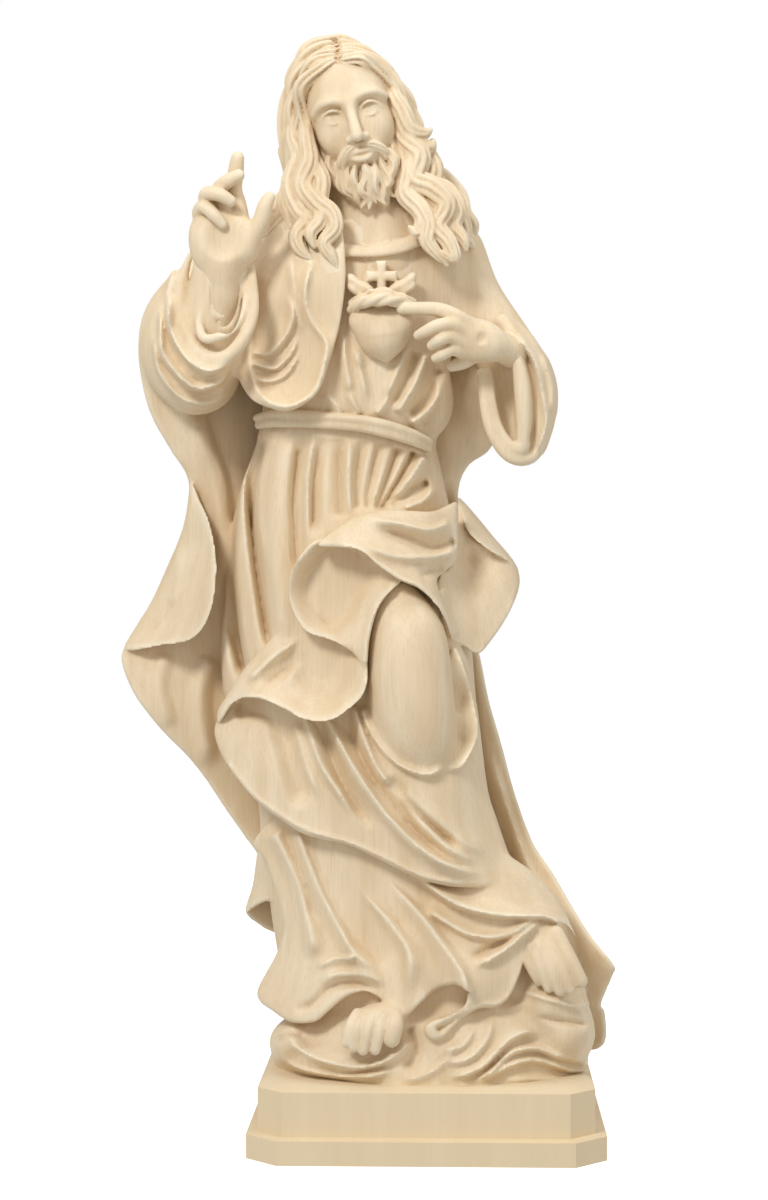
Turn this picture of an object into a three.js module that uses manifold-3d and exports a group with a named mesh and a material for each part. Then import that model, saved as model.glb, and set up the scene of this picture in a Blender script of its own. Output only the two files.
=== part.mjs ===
// Standing carved figure with a heart on its breast, one hand raised, on clouds over a stepped plinth.
// Millimetres, +Z up, -Y to the viewer, origin at the middle of the plinth's underside.
import * as THREE from "three";
import { edgeTable, triTable } from "three/addons/objects/MarchingCubes.js";
import Module from "manifold-3d";

// Driving sizes.
const STATUE_HEIGHT = 600;
const PLINTH_WIDTH = 188;
const PLINTH_DEPTH = 150;
const PLINTH_CHAMFER = 17;
const LOWER_TIER = 12.5;
const LEDGE = 6;
const LEDGE_RISE = 0.9;
const UPPER_TIER = 23;
const UPPER_CHAMFER = 13.5;
const TOP_BEVEL = [4, 2.6];
const TOP_BEVEL_CUT = 1.5;
const PLINTH_TOP = LOWER_TIER + LEDGE_RISE + UPPER_TIER + TOP_BEVEL[1];
const TRIANGLES = 9000;

// The carving below is drawn at this size, as its front is seen from EYE.
// x and z lie on the plane y = 0, y is the depth.
const DRAWN = { height: 600, foot: 39 };
const EYE = [15, -1300, 290.8];
const BODY_STEP = 2.6;
const HEAD_STEP = 1.5;
const HAND_STEP = 1.2;

// The head leans towards the viewer's left about its centre.
const HEAD_CENTRE = [-41, -2, 554.5];
const HEAD_LEAN = 14.6;
// Turn of the sway from one point of a lock to the next, and from one lock to the next, in radians.
const SWAY = [2.2, 1.9];

const BODY = [
  // mantle behind
  ["sheet", [
    [-15, 24, 506], [7, 22, 500.5], [25.5, 18, 488], [38, 14, 460.5], [46, 12, 435], [44, 14, 399.5],
    [35, 15, 374], [23, 16, 364.5], [17.5, 16, 353.5],
    [17, 18, 337], [19.5, 20, 307], [23, 20, 280], [28.5, 18, 261], [33.5, 16, 236.5], [40.5, 14, 212],
    [48, 10, 184.5], [57.5, 6, 159], [68, 2, 143], [78.5, -4, 125], [89.5, -10, 107.5],
    [101.5, -16, 92.5], [100.5, -10, 86.5], [94.5, 2, 71.5], [96.5, 6, 66.5], [95, 10, 48.5],
    [72, 30, 46], [1.5, 52, 46], [-53, 48, 46],
    [-75, 36, 67.5], [-78, 24, 103], [-90, 20, 112.5], [-99, 16, 120.5], [-95.5, 18, 134],
    [-92, 18, 149.5], [-100.5, 16, 163], [-110, 12, 176.5], [-121, 8, 193],
    [-130.5, 4, 205], [-143, 0, 217.5], [-152, -2, 228], [-161.5, -2, 242], [-167, 2, 261],
    [-156.5, 8, 277], [-143, 12, 307], [-132, 12, 334.5], [-130.5, 8, 356], [-140, 4, 372.5],
    [-150.5, 0, 391], [-156, -2, 410.5],
    [-156.5, -2, 429.5], [-154.5, 2, 446], [-145.5, 4, 459.5], [-129, 8, 473], [-107.5, 14, 489.5],
    [-90, 16, 496.5], [-69.5, 22, 506], [-42, 26, 509.5],
  ], [
    [-42, 36, 454], [-42, 38, 383.5], [-42, 44, 312.5], [-36.5, 52, 236.5], [-20.5, 56, 171],
    [-4, 58, 105.5],
    [-121, 8, 383.5], [-110, 10, 312.5], [-124, 8, 258], [-107.5, 14, 214.5], [12.5, 6, 383.5],
    [12.5, 6, 356], [23, 22, 193], [50.5, 16, 111],
  ], 5, [
    [[[-36.5, 476], [-31.5, 345], [-15, 209], [7, 57]], 16, -7, [0.3, 0.15]],
    [[[-69.5, 454], [-80.5, 334.5], [-69.5, 203.5], [-42, 57]], 14, -6, [0.3, 0.15]],
    [[[-4, 454], [7, 312.5], [23, 193], [50.5, 57]], 13, -6, [0.3, 0.15]],
    [[[-124, 399.5], [-120.5, 378], [-112, 356], [-109.5, 323.5], [-112, 291]], 9, 7, [0.2, 0.3],
      0.4, true],
    [[[-142.5, 438], [-139, 408], [-128, 378], [-118.5, 345], [-115.5, 312.5]], 9, 5, [0.2, 0.2],
      0, true],
    [[[-118.5, 261], [-124, 236.5], [-118.5, 198.5]], 8, 6, [0.1, 0.2], 0, true],
    [[[-143, 262.5], [-146.5, 242], [-139, 220]], 7, 3, [0.1, 0.2], 0, true],
    [[[33, 212], [42, 182], [56, 144], [80.5, 100.5]], 8, 4, [0.2, 0.2], 0.5],
  ], 1],

  // gown: chest
  ["loft", [[502, -23, 19.5, 0, 22], [489.5, -29, 41.5, 2, 26], [475, -31.5, 53.5, 3, 31],
    [454, -33.5, 53.5, 2, 34], [427, -36.5, 50, 0, 35], [402.5, -39, 50.5, 0, 38], [386, -41, 49, 0, 34],
    [372.5, -44.5, 45.5, 0, 30]], [
    [[[-45.5, 438], [-44.5, 420], [-41, 402.5]], 7, 4, [0.2, 0.2], 0.4],
    [[[-40, 429.5], [-35, 410.5], [-31.5, 398.5]], 6, 4, [0.2, 0.3], -0.4],
    [[[-36.5, 422.5], [-31.5, 408], [-27.5, 394]], 5, -3, [0.2, 0.5], 0],
    [[[-9.5, 430.5], [-18, 410.5], [-23.5, 398.5]], 6, 4, [0.2, 0.3], 0.4],
    [[[-5, 427], [-11.5, 410.5], [-21, 394]], 7, -3.5, [0.1, 0.2], 0, true],
    [[[0, 426], [-7, 408], [-17, 392]], 7, 4.5, [0.1, 0.1], 0.3],
    [[[7, 418], [1.5, 404], [-10.5, 391]], 6, -4, [0.1, 0.1], 0, true],
    [[[5, 415], [5.5, 402.5], [-1, 392.5], [-10.5, 386.5]], 7, 4, [0.2, 0.1], -0.4],
    [[[9, 395.5], [3.5, 390], [-4, 385]], 5, -3, [0.1, 0.2], 0, true],
    [[[-57.5, 404], [-51, 398.5], [-46.5, 392]], 6, 3.5, [0.3, 0.1], 0.4],
    [[[-43, 405], [-40, 398.5], [-36.5, 392]], 5, 3, [0.3, 0.1], 0.4],
    [[[-19.5, 403], [-23.5, 397.5], [-28, 392]], 5, 3, [0.3, 0.1], -0.4],
    [[[20, 459.5], [17, 449.5]], 3, -2, [0.3, 0.3], 0, true],
  ], 4],
  ["ball", [3, -8, 398.5], [10.5, 12, 16], 0, 7],
  // gown: skirt
  ["loft", [[386, -44.5, 45.5, 0, 30], [372.5, -45, 50, 0, 34], [334.5, -46.5, 60, 1, 41],
    [291, -45, 66.5, 2, 45], [236.5, -42, 68.5, 4, 46], [193, -32.5, 62, 4, 46],
    [154.5, -23, 66.5, 2, 47], [116.5, -7, 77.5, 0, 48], [84, 2.5, 81.5, 0, 50], [62, 1.5, 76, 4, 50],
    [46, 1.5, 76, 4, 50]], [
    [[[-94.5, 384.5], [-104, 359], [-107, 334.5], [-107.5, 304.5], [-103, 269], [-97.5, 242]], 9, -8,
      [0.1, 0.1], 0.5, true],
    [[[-90, 380], [-96, 350.5], [-94.5, 318], [-88.5, 277], [-84.5, 258]], 11, -7, [0.05, 0.15],
      -0.55, true],
    [[[-86, 381], [-91.5, 350.5], [-90.5, 326], [-87, 301.5]], 4, 3, [0.1, 0.3]],
    [[[-77.5, 380], [-82, 345], [-81.5, 296], [-78, 258]], 9, 3, [0.1, 0.2], 0, true],
    [[[-69, 381], [-72.5, 351], [-71.5, 319.5], [-69.5, 299]], 10, -6, [0.05, 0.2], -0.5, true],
    [[[-62.5, 378], [-65, 356], [-64.5, 323.5]], 4, 2.5, [0.1, 0.3], 0.3],
    [[[-57.5, 380], [-61.5, 356], [-62.5, 323.5]], 8, -5, [0.05, 0.2], -0.5, true],
    [[[-47, 379], [-48, 360.5], [-47, 334.5]], 9, -5, [0.05, 0.1], 0.4, true],
    [[[-42, 378], [-43, 357.5], [-42, 336.5]], 4, 2.5, [0.1, 0.2]],
    [[[-35.5, 378], [-38.5, 357.5], [-38, 338.5]], 7, -4.5, [0.05, 0.1], -0.4, true],
    [[[-26, 377], [-32, 351], [-32.5, 338.5]], 7, -4.5, [0.05, 0.1], -0.4, true],
    [[[-16.5, 374.5], [-22.5, 356], [-28.5, 338.5]], 7, -5, [0.05, 0.1], -0.5, true],
    [[[-7.5, 372.5], [-16, 356], [-26, 338.5]], 6, -5, [0.05, 0.1], -0.5, true],
    [[[-1, 369.5], [-9.5, 357], [-19.5, 345]], 6, 4, [0.1, 0.2], -0.4],
    [[[1.5, 355], [-8.5, 351], [-20.5, 342]], 6, -3.5, [0.1, 0.1], 0, true],
    [[[3.5, 352], [-2, 345], [-13, 340.5]], 5, 4, [0.1, 0.1]],
    [[[-115.5, 236.5], [-110, 193], [-90, 154.5]], 8, 3, [0.3, 0.2]],
  ], 3, [
    [[[-36.5, 378], [-31.5, 236.5], [-4, 51.5]], 18, 2],
  ]],
  // flat band at the neck
  ["sheet", [
    [-50, -27.5, 486], [-41, -29.5, 484.5], [-28, -31.5, 484.5], [-15, -30.5, 487.5],
    [-5.5, -26.5, 491.5], [3.5, -18.5, 497.5], [7.5, -20.5, 491], [-2, -28.5, 484.5], [-14, -33, 479.5],
    [-28, -34, 477.5], [-41, -32.5, 477.5], [-50, -29.5, 478.5],
  ], [], 12, [], 0.6],
  // belt
  ["tube", [[-93, -9, 390, 2.2], [-84.5, -21, 392, 2.7], [-69.5, -32, 392, 2.7], [-53, -36.5, 390.5, 2.7],
    [-36.5, -37.5, 389, 2.7], [-21.5, -35, 386, 2.7], [-8.5, -29, 381.5, 2.6], [1, -19, 377, 2.2]], 0.6],
  ["tube", [[-92, -9, 386, 2.2], [-84.5, -21, 387.5, 2.7], [-69.5, -31, 387.5, 2.7],
    [-53, -35.5, 386.5, 2.7], [-36.5, -36.5, 385, 2.7], [-21.5, -34, 381.5, 2.7], [-8.5, -28, 377.5, 2.6],
    [0.5, -18, 373.5, 2.2]], 0.6],

  // lower gown over the feet
  ["sheet", [
    [-93.5, -18, 161.5], [-89, -20, 149.5], [-84.5, -24, 138.5], [-79, -28, 119.5], [-78, -28, 111],
    [-82.5, -26, 97.5], [-93, -24, 76], [-83.5, -36, 66], [-73, -44, 60.5], [-61, -50, 61],
    [-53, -52, 67.5], [-44, -53, 74.5], [-34, -53, 77.5], [-24.5, -55, 73],
    [-17.5, -58, 66], [-11, -60, 64.5], [-7.5, -62, 67.5], [-2, -63, 73], [8.5, -64, 80], [16.5, -64, 81],
    [21.5, -64, 77], [20, -64, 70], [11.5, -63, 64.5], [2, -63, 61.5], [-1.5, -63, 57], [2, -63, 51.5],
    [8, -62, 52], [13.5, -61, 58], [20, -59, 64], [28.5, -57, 68.5], [38, -55, 69.5],
    [45, -53, 75.5], [50.5, -53, 88], [54.5, -53, 102], [63.5, -50, 111.5], [75.5, -40, 113.5],
    [88.5, -30, 91.5], [78.5, -24, 114.5], [72, -22, 127.5], [62.5, -24, 138.5], [50.5, -28, 148],
    [28.5, -34, 160], [-15, -38, 171], [-64, -30, 182],
  ], [
    [-53, -32, 144], [-36.5, -46, 100.5], [-15, -44, 127.5], [28.5, -52, 111], [7, -54, 78.5],
    [39.5, -50, 127.5], [-69.5, -40, 84], [-28, -32, 144],
  ], 30, [
    [[[-84.5, 165.5], [-69.5, 135.5], [-63, 105.5], [-60.5, 94]], 12, 9, [0.05, 0.15], -0.3],
    [[[-78, 168], [-67, 134], [-61.5, 111]], 6, -4, [0.1, 0.2], 0, true],
    [[[-71.5, 166.5], [-58.5, 133], [-48, 112.5], [-39, 98], [-22.5, 84]], 10, 10, [0.05, 0.2], 0.3],
    [[[-63, 165.5], [-50.5, 134.5], [-36.5, 112.5], [-22.5, 90.5]], 10, -9, [0.05, 0.15], -0.4, true],
    [[[-57.5, 164.5], [-36.5, 133.5], [-19.5, 114], [-9.5, 96], [-10.5, 73]], 12, 10, [0.05, 0.2], -0.3],
    [[[-47.5, 157], [-23.5, 125.5], [-8.5, 105.5]], 5, -4, [0.1, 0.2], 0, true],
    [[[-36.5, 153.5], [-4, 120], [7, 105.5], [19, 88.5], [22, 77.5]], 14, 9, [0.05, 0], 0.65],
    [[[-60.5, 90.5], [-51, 95], [-39, 96]], 6, 5, [0.2, 0.1], 0.4],
    [[[-59.5, 81], [-50, 87], [-33.5, 86.5], [-21.5, 80.5]], 6, 4, [0.2, 0.2]],
    [[[-75, 66.5], [-63, 70.5], [-53, 79.5], [-39, 82], [-23, 76.5]], 5, -4, [0.2, 0.2], 0, true],
    [[[1.5, 71], [9, 75.5], [16.5, 77]], 6, -9, [0.1, 0.1]],
    [[[4.5, 56], [12.5, 61], [21, 67.5]], 4, -4, [0.1, 0.3], 0, true],
    [[[-13, 146], [12.5, 127], [34.5, 120], [53.5, 119], [68, 117.5], [78.5, 107], [87.5, 92.5]], 9, 10,
      [0.05, 0.1], -0.6],
    [[[-2, 123], [10, 115.5], [23.5, 108.5], [40.5, 107.5], [49.5, 111.5], [58.5, 118.5]], 7, 6,
      [0.1, 0.1], -0.5],
    [[[25.5, 90.5], [39.5, 98.5], [51.5, 108], [61.5, 116.5]], 6, 6, [0.2, 0.1], -0.5],
    [[[23, 96], [38.5, 104], [49.5, 111]], 5, -4, [0.2, 0.2], 0, true],
    [[[20, 64], [28.5, 70], [38, 71], [44.5, 76.5], [50, 88.5], [54, 101.5]], 3, 2, [0.1, 0.1]],
  ], 2],

  // mantle drawn across the hips, lower part
  ["sheet", [
    [-116, -24, 217.5], [-113, -22, 227.5], [-102, -22, 239.5], [-83, -26, 242], [-64, -32, 236.5],
    [-45, -36, 242], [-33.5, -40, 252.5], [-23, -40, 274.5], [-9.5, -40, 291], [7, -38, 280],
    [21, -28, 261], [26.5, -26, 236.5], [29.5, -26, 214.5],
    [33, -26, 187.5], [38.5, -26, 170], [44.5, -28, 152.5], [51, -32, 138], [39.5, -44, 135],
    [28.5, -52, 134.5], [11.5, -57, 135], [-5.5, -58, 139.5], [-23.5, -56, 148], [-41, -53, 156.5],
    [-53, -51, 159.5], [-67, -48, 163], [-79, -44, 170.5], [-94.5, -38, 182.5], [-109.5, -28, 201.5],
  ], [
    [-102, -30, 217.5], [-90, -40, 198.5], [-64, -44, 214.5], [-58.5, -50, 187.5], [-34, -50, 214.5],
    [-15, -58, 176.5], [12.5, -60, 149.5], [-4, -50, 242], [23, -42, 182], [17.5, -46, 193],
  ], 24, [
    [[[-81.5, 235.5], [-72, 196], [-66, 175.5]], 10, -7, [0.1, 0.2]],
    [[[-75, 235.5], [-66.5, 201.5], [-57.5, 182]], 5, 3.5, [0.1, 0.2]],
    [[[-68.5, 234], [-58.5, 202.5], [-47.5, 185], [-39, 172]], 6, 6, [0.05, 0.25], -0.3],
    [[[-61.5, 232], [-48.5, 195.5], [-38, 177.5], [-28, 165.5]], 9, -6, [0.05, 0.2], -0.4, true],
    [[[-59.5, 235.5], [-42, 203], [-29, 183], [-20.5, 172], [-5.5, 157], [12.5, 146], [34, 141]], 7, 8,
      [0.05, 0.2], 0.5],
    [[[-50, 234], [-31.5, 196.5], [-17, 177.5], [-4, 162.5], [16.5, 148]], 8, -6, [0.05, 0.2],
      -0.3, true],
    [[[-41, 235.5], [-30.5, 205.5], [-20.5, 190], [-5.5, 173], [11.5, 156], [31, 146]], 6, 6, [0.05, 0.2],
      0.4],
    [[[-23.5, 194], [-12, 180], [1.5, 168], [19, 154.5]], 9, -7, [0.1, 0.2], -0.4, true],
    [[[-15, 187.5], [-1, 175.5], [15, 162.5], [34, 150.5]], 8, 4, [0.1, 0.2]],
    [[[-36, 233], [-32, 221], [-22.5, 207], [-11, 198.5], [1.5, 196], [11, 201.5]], 6, 6, [0.05, 0.1],
      -0.6],
    [[[-112, 206], [-95.5, 185], [-79, 173], [-66, 165.5], [-42, 158.5], [-23.5, 150.5], [-5, 141.5],
      [12.5, 137.5], [29.5, 137.5]], 3, 2, [0.05, 0.1]],
    [[[-106.5, 231], [-96.5, 233], [-83, 230], [-69.5, 224.5]], 9, -6, [0.1, 0.2]],
  ], 1.5],
  // knee and thigh
  ["tube", [[-16, -42, 288.5, 13], [-11, -46, 269, 21], [-9, -47, 242, 23], [-6, -45, 220, 22],
    [-2, -42, 206, 16]], 4],
  ["ball", [2.5, -30, 284.5], [9, 7, 15], -20, 4],
  ["sheet", [[12.5, -42, 262.5], [16.5, -42, 263.5], [21.5, -42, 249.5], [26.5, -42, 229.5],
    [27.5, -44, 217], [22, -48, 204.5], [17, -50, 198.5], [10, -52, 200.5], [11, -46, 225.5],
    [10.5, -44, 247.5]], [[17.5, -32, 236.5], [19, -36, 214.5]], 20, [
    [[[16.5, 263.5], [21.5, 249.5], [26.5, 229.5], [27, 217], [22, 204.5], [16.5, 199.5]], 3.5, 3,
      [0.1, 0.1], 0.3],
  ], 1],

  // mantle roll: left bowl, its lining running in under the rim above
  ["sheet", [
    [-60.5, -52, 323.5], [-45, -50, 325.5], [-27, -50, 318], [-12, -52, 306], [-15, -59, 300],
    [-21.5, -60, 294], [-27.5, -62, 284.5], [-31.5, -62, 269], [-33.5, -61, 254], [-41, -57, 262.5],
    [-53, -54, 269], [-65, -52, 273], [-71.5, -51, 281], [-75.5, -51, 292], [-75, -53, 303.5],
    [-69.5, -56, 314.5],
  ], [[-56, -34, 304.5], [-50.5, -36, 288], [-36.5, -46, 296], [-42, -34, 312.5], [-64, -38, 296],
    [-27, -46, 304.5]], 9, [
    [[[-57.5, 277.5], [-45, 289], [-30, 303]], 7, -4, [0.1, 0.3], 0, true],
    [[[-33.5, 256], [-32.5, 269], [-28.5, 284.5], [-22.5, 294], [-16, 299.5]], 4, 3, [0, 0.1], -0.4],
    [[[-69.5, 314.5], [-75, 303.5], [-75.5, 292], [-71.5, 281], [-65, 273], [-53, 269], [-41, 262.5]],
      2.5, 2, [0.05, 0.1]],
  ], 1],
  // lower bowl of the roll
  ["sheet", [
    [-70.5, -38, 281], [-53, -42, 273.5], [-39, -48, 264.5], [-33, -60, 257], [-32.5, -62, 247.5],
    [-35.5, -63, 238.5], [-43, -63, 231], [-50.5, -63, 226], [-59.5, -63, 224.5], [-69.5, -61, 226.5],
    [-77.5, -57, 231], [-87, -53, 235.5], [-96.5, -47, 237.5], [-105.5, -38, 234.5],
    [-113.5, -27, 223.5],
    [-114.5, -26, 230], [-109.5, -27, 238.5], [-99.5, -32, 254], [-85.5, -36, 269], [-76, -38, 279],
  ], [[-50.5, -42, 254], [-56, -44, 242], [-69.5, -38, 261], [-80.5, -42, 247.5], [-45, -50, 242]], 9, [
    [[[-99, 246], [-83, 260.5], [-67, 271]], 6, 6, [0.15, 0.3]],
    [[[-90, 244], [-75, 254], [-64, 263.5]], 5, -3.5, [0.2, 0.2], 0, true],
    [[[-64, 269], [-71.5, 254], [-78, 242]], 7, 3, [0.2, 0.2]],
    [[[-108.5, 233], [-96.5, 238], [-85.5, 235.5], [-69.5, 226.5], [-50.5, 226], [-36, 238.5],
      [-33, 251.5]], 3, 2.5, [0.05, 0.05]],
  ], 1],
  // mantle roll: upper part
  ["sheet", [
    [-59.5, -57, 320.5], [-50.5, -55, 329], [-36.5, -49, 337.5], [-20.5, -45, 340], [1, -39, 339],
    [10, -28, 342], [16, -22, 344], [17, -26, 334.5], [16.5, -30, 319], [15, -32, 311.5], [9.5, -36, 306],
    [5.5, -40, 301.5], [8, -44, 291], [12.5, -44, 277.5], [13.5, -40, 269], [9.5, -50, 279],
    [4.5, -56, 288], [-4.5, -60, 297],
    [-15, -62, 301.5], [-26, -62, 309], [-36.5, -62, 317.5], [-47.5, -61, 319.5],
  ], [[-15, -52, 320.5], [1.5, -42, 323.5]], 22, [
    [[[15.5, 318], [1.5, 314.5], [-17.5, 314.5], [-39.5, 323]], 8, 5, [0.05, 0.3], 0.3],
    [[[12.5, 333.5], [1, 329.5], [-15, 332.5], [-35.5, 336]], 7, 5, [0.05, 0.3], -0.5],
    [[[15.5, 323.5], [3, 319], [-13, 325], [-30, 330.5]], 7, -6, [0.05, 0.3], 0, true],
    [[[-47.5, 320.5], [-36.5, 318], [-26, 310], [-15, 303], [-4.5, 298], [4, 289], [10, 279]], 3.5, 3,
      [0.05, 0.1]],
    [[[-4, 303], [1.5, 306], [9, 307]], 5, -3, [0.2, 0.1], 0, true],
  ], 1.5],

  // right flap of the mantle
  ["sheet", [
    [17, 2, 345], [21.5, -4, 329.5], [28, -6, 322], [43, -4, 313.5], [49.5, 0, 306], [49.5, -4, 296],
    [43.5, -12, 282], [34.5, -18, 268.5], [27.5, -24, 261.5], [19.5, -30, 266], [11.5, -38, 270.5],
    [7, -38, 284.5], [5.5, -34, 301.5], [13.5, -26, 311.5], [15.5, -8, 329],
  ], [[31.5, -14, 293.5], [23, 2, 312.5], [21, -22, 285.5], [39.5, -10, 299]], 6, [
    [[[11.5, 270], [20, 266], [27, 261.5], [34.5, 268], [43, 281.5], [48.5, 295]], 3, 2, [0.1, 0.1]],
    [[[7.5, 298.5], [10, 284.5], [15.5, 271]], 7, 5, [0.1, 0.1], 0.4],
  ], 1.5],
  ["sheet", [[16.5, 6, 346.5], [23, 6, 341], [35, 4, 326.5], [46, 2, 313.5], [49.5, -2, 306.5],
    [43, -10, 312], [33, -14, 318], [23, -12, 326.5], [19, -6, 335.5]], [], 5, [
    [[[18.5, 338.5], [22.5, 328], [32, 319], [43, 312.5], [48, 307]], 2.5, 1.5, [0.1, 0.1]],
  ], 1],

  // left flap of the mantle
  ["sheet", [
    [-129, 4, 355], [-124, -2, 345], [-118.5, -12, 332], [-115, -22, 312.5], [-116.5, -28, 291],
    [-122, -26, 276], [-130.5, -20, 268.5], [-145, -10, 266], [-165, 0, 263.5], [-158.5, 8, 277.5],
    [-151, 8, 289.5], [-138.5, 8, 314], [-132, 6, 336.5],
  ], [[-130.5, -6, 296], [-143, 0, 280], [-126.5, 0, 323.5]], 5, [
    [[[-125, 347.5], [-118.5, 332], [-115, 312.5], [-116.5, 291], [-122, 276], [-130.5, 268.5],
      [-145, 266], [-162, 264]], 3, 2.5, [0.1, 0.1]],
    [[[-155.5, 272.5], [-144.5, 279], [-138, 293]], 5, -2.5, [0.2, 0.2], 0, true],
    [[[-137, 323.5], [-136, 301.5], [-141, 284.5]], 7, 2.5, [0.2, 0.2]],
  ], 1],
  // small flap low on the left
  ["sheet", [[-92, 10, 157.5], [-95.5, 12, 134], [-99, 10, 120.5], [-94.5, 0, 123], [-88, -8, 126.5],
    [-79, -16, 127.5], [-83.5, -14, 144], [-89, -8, 154.5]], [], 5, [], 1],

  // mantle over the right shoulder, its pouch at the chest
  ["sheet", [
    [-69.5, -8, 506], [-81.5, -6, 498.5], [-90, -10, 488], [-96.5, -16, 475], [-101, -24, 452],
    [-106, -28, 429.5], [-106, -30, 420.5], [-102, -36, 409.5], [-95.5, -42, 400], [-86, -46, 395.5],
    [-76.5, -47, 393.5], [-67, -48, 397.5], [-59, -48, 405], [-54, -47, 418.5], [-48, -44, 439],
    [-45, -42, 459.5], [-44.5, -40, 475], [-47, -32, 495], [-56, -16, 508.5],
  ], [[-77.5, -34, 476], [-83, -34, 443], [-83, -34, 413.5], [-56, -43, 459.5], [-69.5, -40, 410.5]], 26,
    [
    [[[-96, 435], [-96.5, 417], [-93, 405.5], [-85.5, 398.5], [-76.5, 396.5], [-67.5, 399.5],
      [-60, 406.5], [-56, 420.5], [-55, 431], [-62.5, 442], [-66.5, 453], [-66, 463.5], [-61.5, 479]],
      4, 4, [0.05, 0.1]],
    [[[-96.5, 426], [-87, 425], [-78, 433.5], [-73, 446], [-77.5, 460.5]], 6, 5, [0.1, 0.3], -0.5],
    [[[-96.5, 420.5], [-83.5, 417], [-74.5, 425], [-69.5, 435.5]], 5, 4.5, [0.1, 0.3], -0.5],
    [[[-95.5, 412], [-86, 410], [-76.5, 414.5], [-68.5, 427]], 5, 4, [0.1, 0.3], -0.5],
    [[[-52, 420.5], [-46.5, 440], [-44, 459.5], [-43, 475], [-46, 491]], 3.5, 2.5, [0.1, 0.1]],
    [[[-74.5, 481.5], [-72, 458], [-67, 433.5]], 5, 2.5, [0.2, 0.2], 0.4],
    [[[-90, 475], [-87, 457], [-90, 438]], 9, 3, [0.3, 0.3], 0, true],
  ], 1.5],

  // right arm: sleeve
  ["tube", [[-81.5, 6, 477, 19], [-102, 6, 466, 22], [-124, 4, 445.5, 27], [-129, -2, 427, 28],
    [-126, -8, 414, 22]], 4],
  ["tube", [[-124, -12, 417, 22], [-121, -24, 431, 23], [-115, -34, 451.5, 18], [-112, -38, 472.5, 15.5]],
    5],
  ["tube", [[-126, -36, 484.5, 1], [-131, -34, 475, 2], [-134.5, -37, 460.5, 3.4], [-134.5, -42, 446, 4],
    [-126.5, -50, 427.5, 4.4], [-116.5, -54, 422, 4.4], [-108, -56, 424.5, 4], [-100.5, -55, 433.5, 3.6],
    [-95, -50, 448.5, 3.2], [-96, -44, 469.5, 2.6], [-97.5, -42, 477, 2]], 2.5],
  ["tube", [[-124.5, -42, 467, 1], [-122.5, -47, 455, 2.2], [-124.5, -50, 443, 2.4],
    [-122.5, -54, 434.5, 2.6], [-116.5, -56, 433.5, 2.6], [-107.5, -56, 438, 2.6],
    [-100.5, -53, 447.5, 2.2], [-98, -46, 462.5, 1.8]], 2.5],
  ["ball", [-120.5, -40, 419.5], [14, 12, 10], 0, 3],
  ["ball", [-110, -55, 456.5], [9, 13, 21], 0, 1.5, true],
  ["tube", [[-120, -47, 454, 2], [-114.5, -48, 445.5, 2.4], [-108.5, -47, 448, 2]], 1.5],
  ["relief", [
    [[[-140, 459.5], [-141, 440], [-132.5, 423.5], [-119.5, 415.5], [-106.5, 420.5]], 6, 5, [0.15, 0.2],
      -0.5],
    [[[-145.5, 454], [-145.5, 429.5], [-138.5, 416], [-127, 406.5], [-116, 408], [-107.5, 414]], 6, 6,
      [0.15, 0.15], -0.5],
    [[[-150, 438], [-147.5, 418], [-140, 406], [-130.5, 399], [-117.5, 398.5], [-106.5, 406]], 6, 5,
      [0.15, 0.2], -0.5],
    [[[-137.5, 475], [-142.5, 454], [-140, 438]], 5, 3, [0.2, 0.3], -0.4],
  ], 4],

  // left arm: sleeve
  ["tube", [[11, 4, 477, 21], [23, 2, 454, 18], [40.5, -2, 429, 17], [50.5, -8, 410.5, 18.5],
    [52, -12, 395.5, 18.5], [52, -14, 379, 14]], 4],
  ["tube", [[42, -24, 438, 8], [52.5, -28, 426, 9], [58, -28, 405, 10], [58.5, -28, 386, 9],
    [54.5, -26, 373.5, 6]], 3],
  ["ball", [40.5, -34, 398.5], [8, 16, 26], 8, 1.5, true],
  ["tube", [[29.5, -26, 414, 3], [31.5, -31, 399.5, 3.4], [34, -34, 386, 3.4], [40, -35, 374, 3.6],
    [47.5, -35, 368, 3.8], [56, -32, 368.5, 3.8], [62.5, -28, 375.5, 3]], 2.5],
  ["tube", [[33.5, -26, 415, 2.4], [35, -31, 399.5, 2.6], [38, -34, 386.5, 2.6], [43.5, -36, 377, 2.6],
    [49.5, -37, 372.5, 2.6], [53.5, -36, 375.5, 2.2]], 1.5],
  ["tube", [[41, -30, 442, 4], [47.5, -35, 432.5, 4.6], [51, -37, 418, 5], [52.5, -38, 399.5, 5],
    [53, -37, 383.5, 4.4], [51.5, -36, 373.5, 3]], 3],
  ["relief", [
    [[[48, 435.5], [58.5, 420], [63, 400], [64.5, 386], [59, 369.5]], 5, 4.5, [0.1, 0.1], -0.4],
    [[[51.5, 429.5], [57.5, 410.5], [58.5, 389], [56, 373.5]], 4, -3.5, [0.15, 0.15], 0, true],
    [[[61.5, 426], [67.5, 408], [68, 389]], 4, 3, [0.2, 0.2]],
  ], 2],

  // clouds
  ["loft", [[81, 7, 65.5, 0, 42], [67.5, 7, 79.5, 0, 50], [54, 2, 86, 0, 56], [40.5, 1.5, 84, 0, 60],
    [27, 1.5, 84.5, 0, 62], [18.5, 1.5, 84.5, 0, 62], [9, 1.5, 84.5, 0, 62]], [
    [[[-58.5, 39.5], [-47.5, 35], [-30, 37], [-17, 43.5], [-8.5, 51.5]], 6, 5, [0.2, 0.1], -0.6],
    [[[-71.5, 57], [-66, 42.5], [-53, 30.5], [-31.5, 28.5]], 8, -4, [0.2, 0.3], 0, true],
    [[[-69.5, 51.5], [-59.5, 37], [-42, 30.5], [-15, 34]], 6, 4, [0.2, 0.3]],
    [[[11, 30.5], [28.5, 35.5], [43, 50], [53, 55.5], [64, 54.5]], 7, 7, [0.2, 0.2], -0.5],
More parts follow.
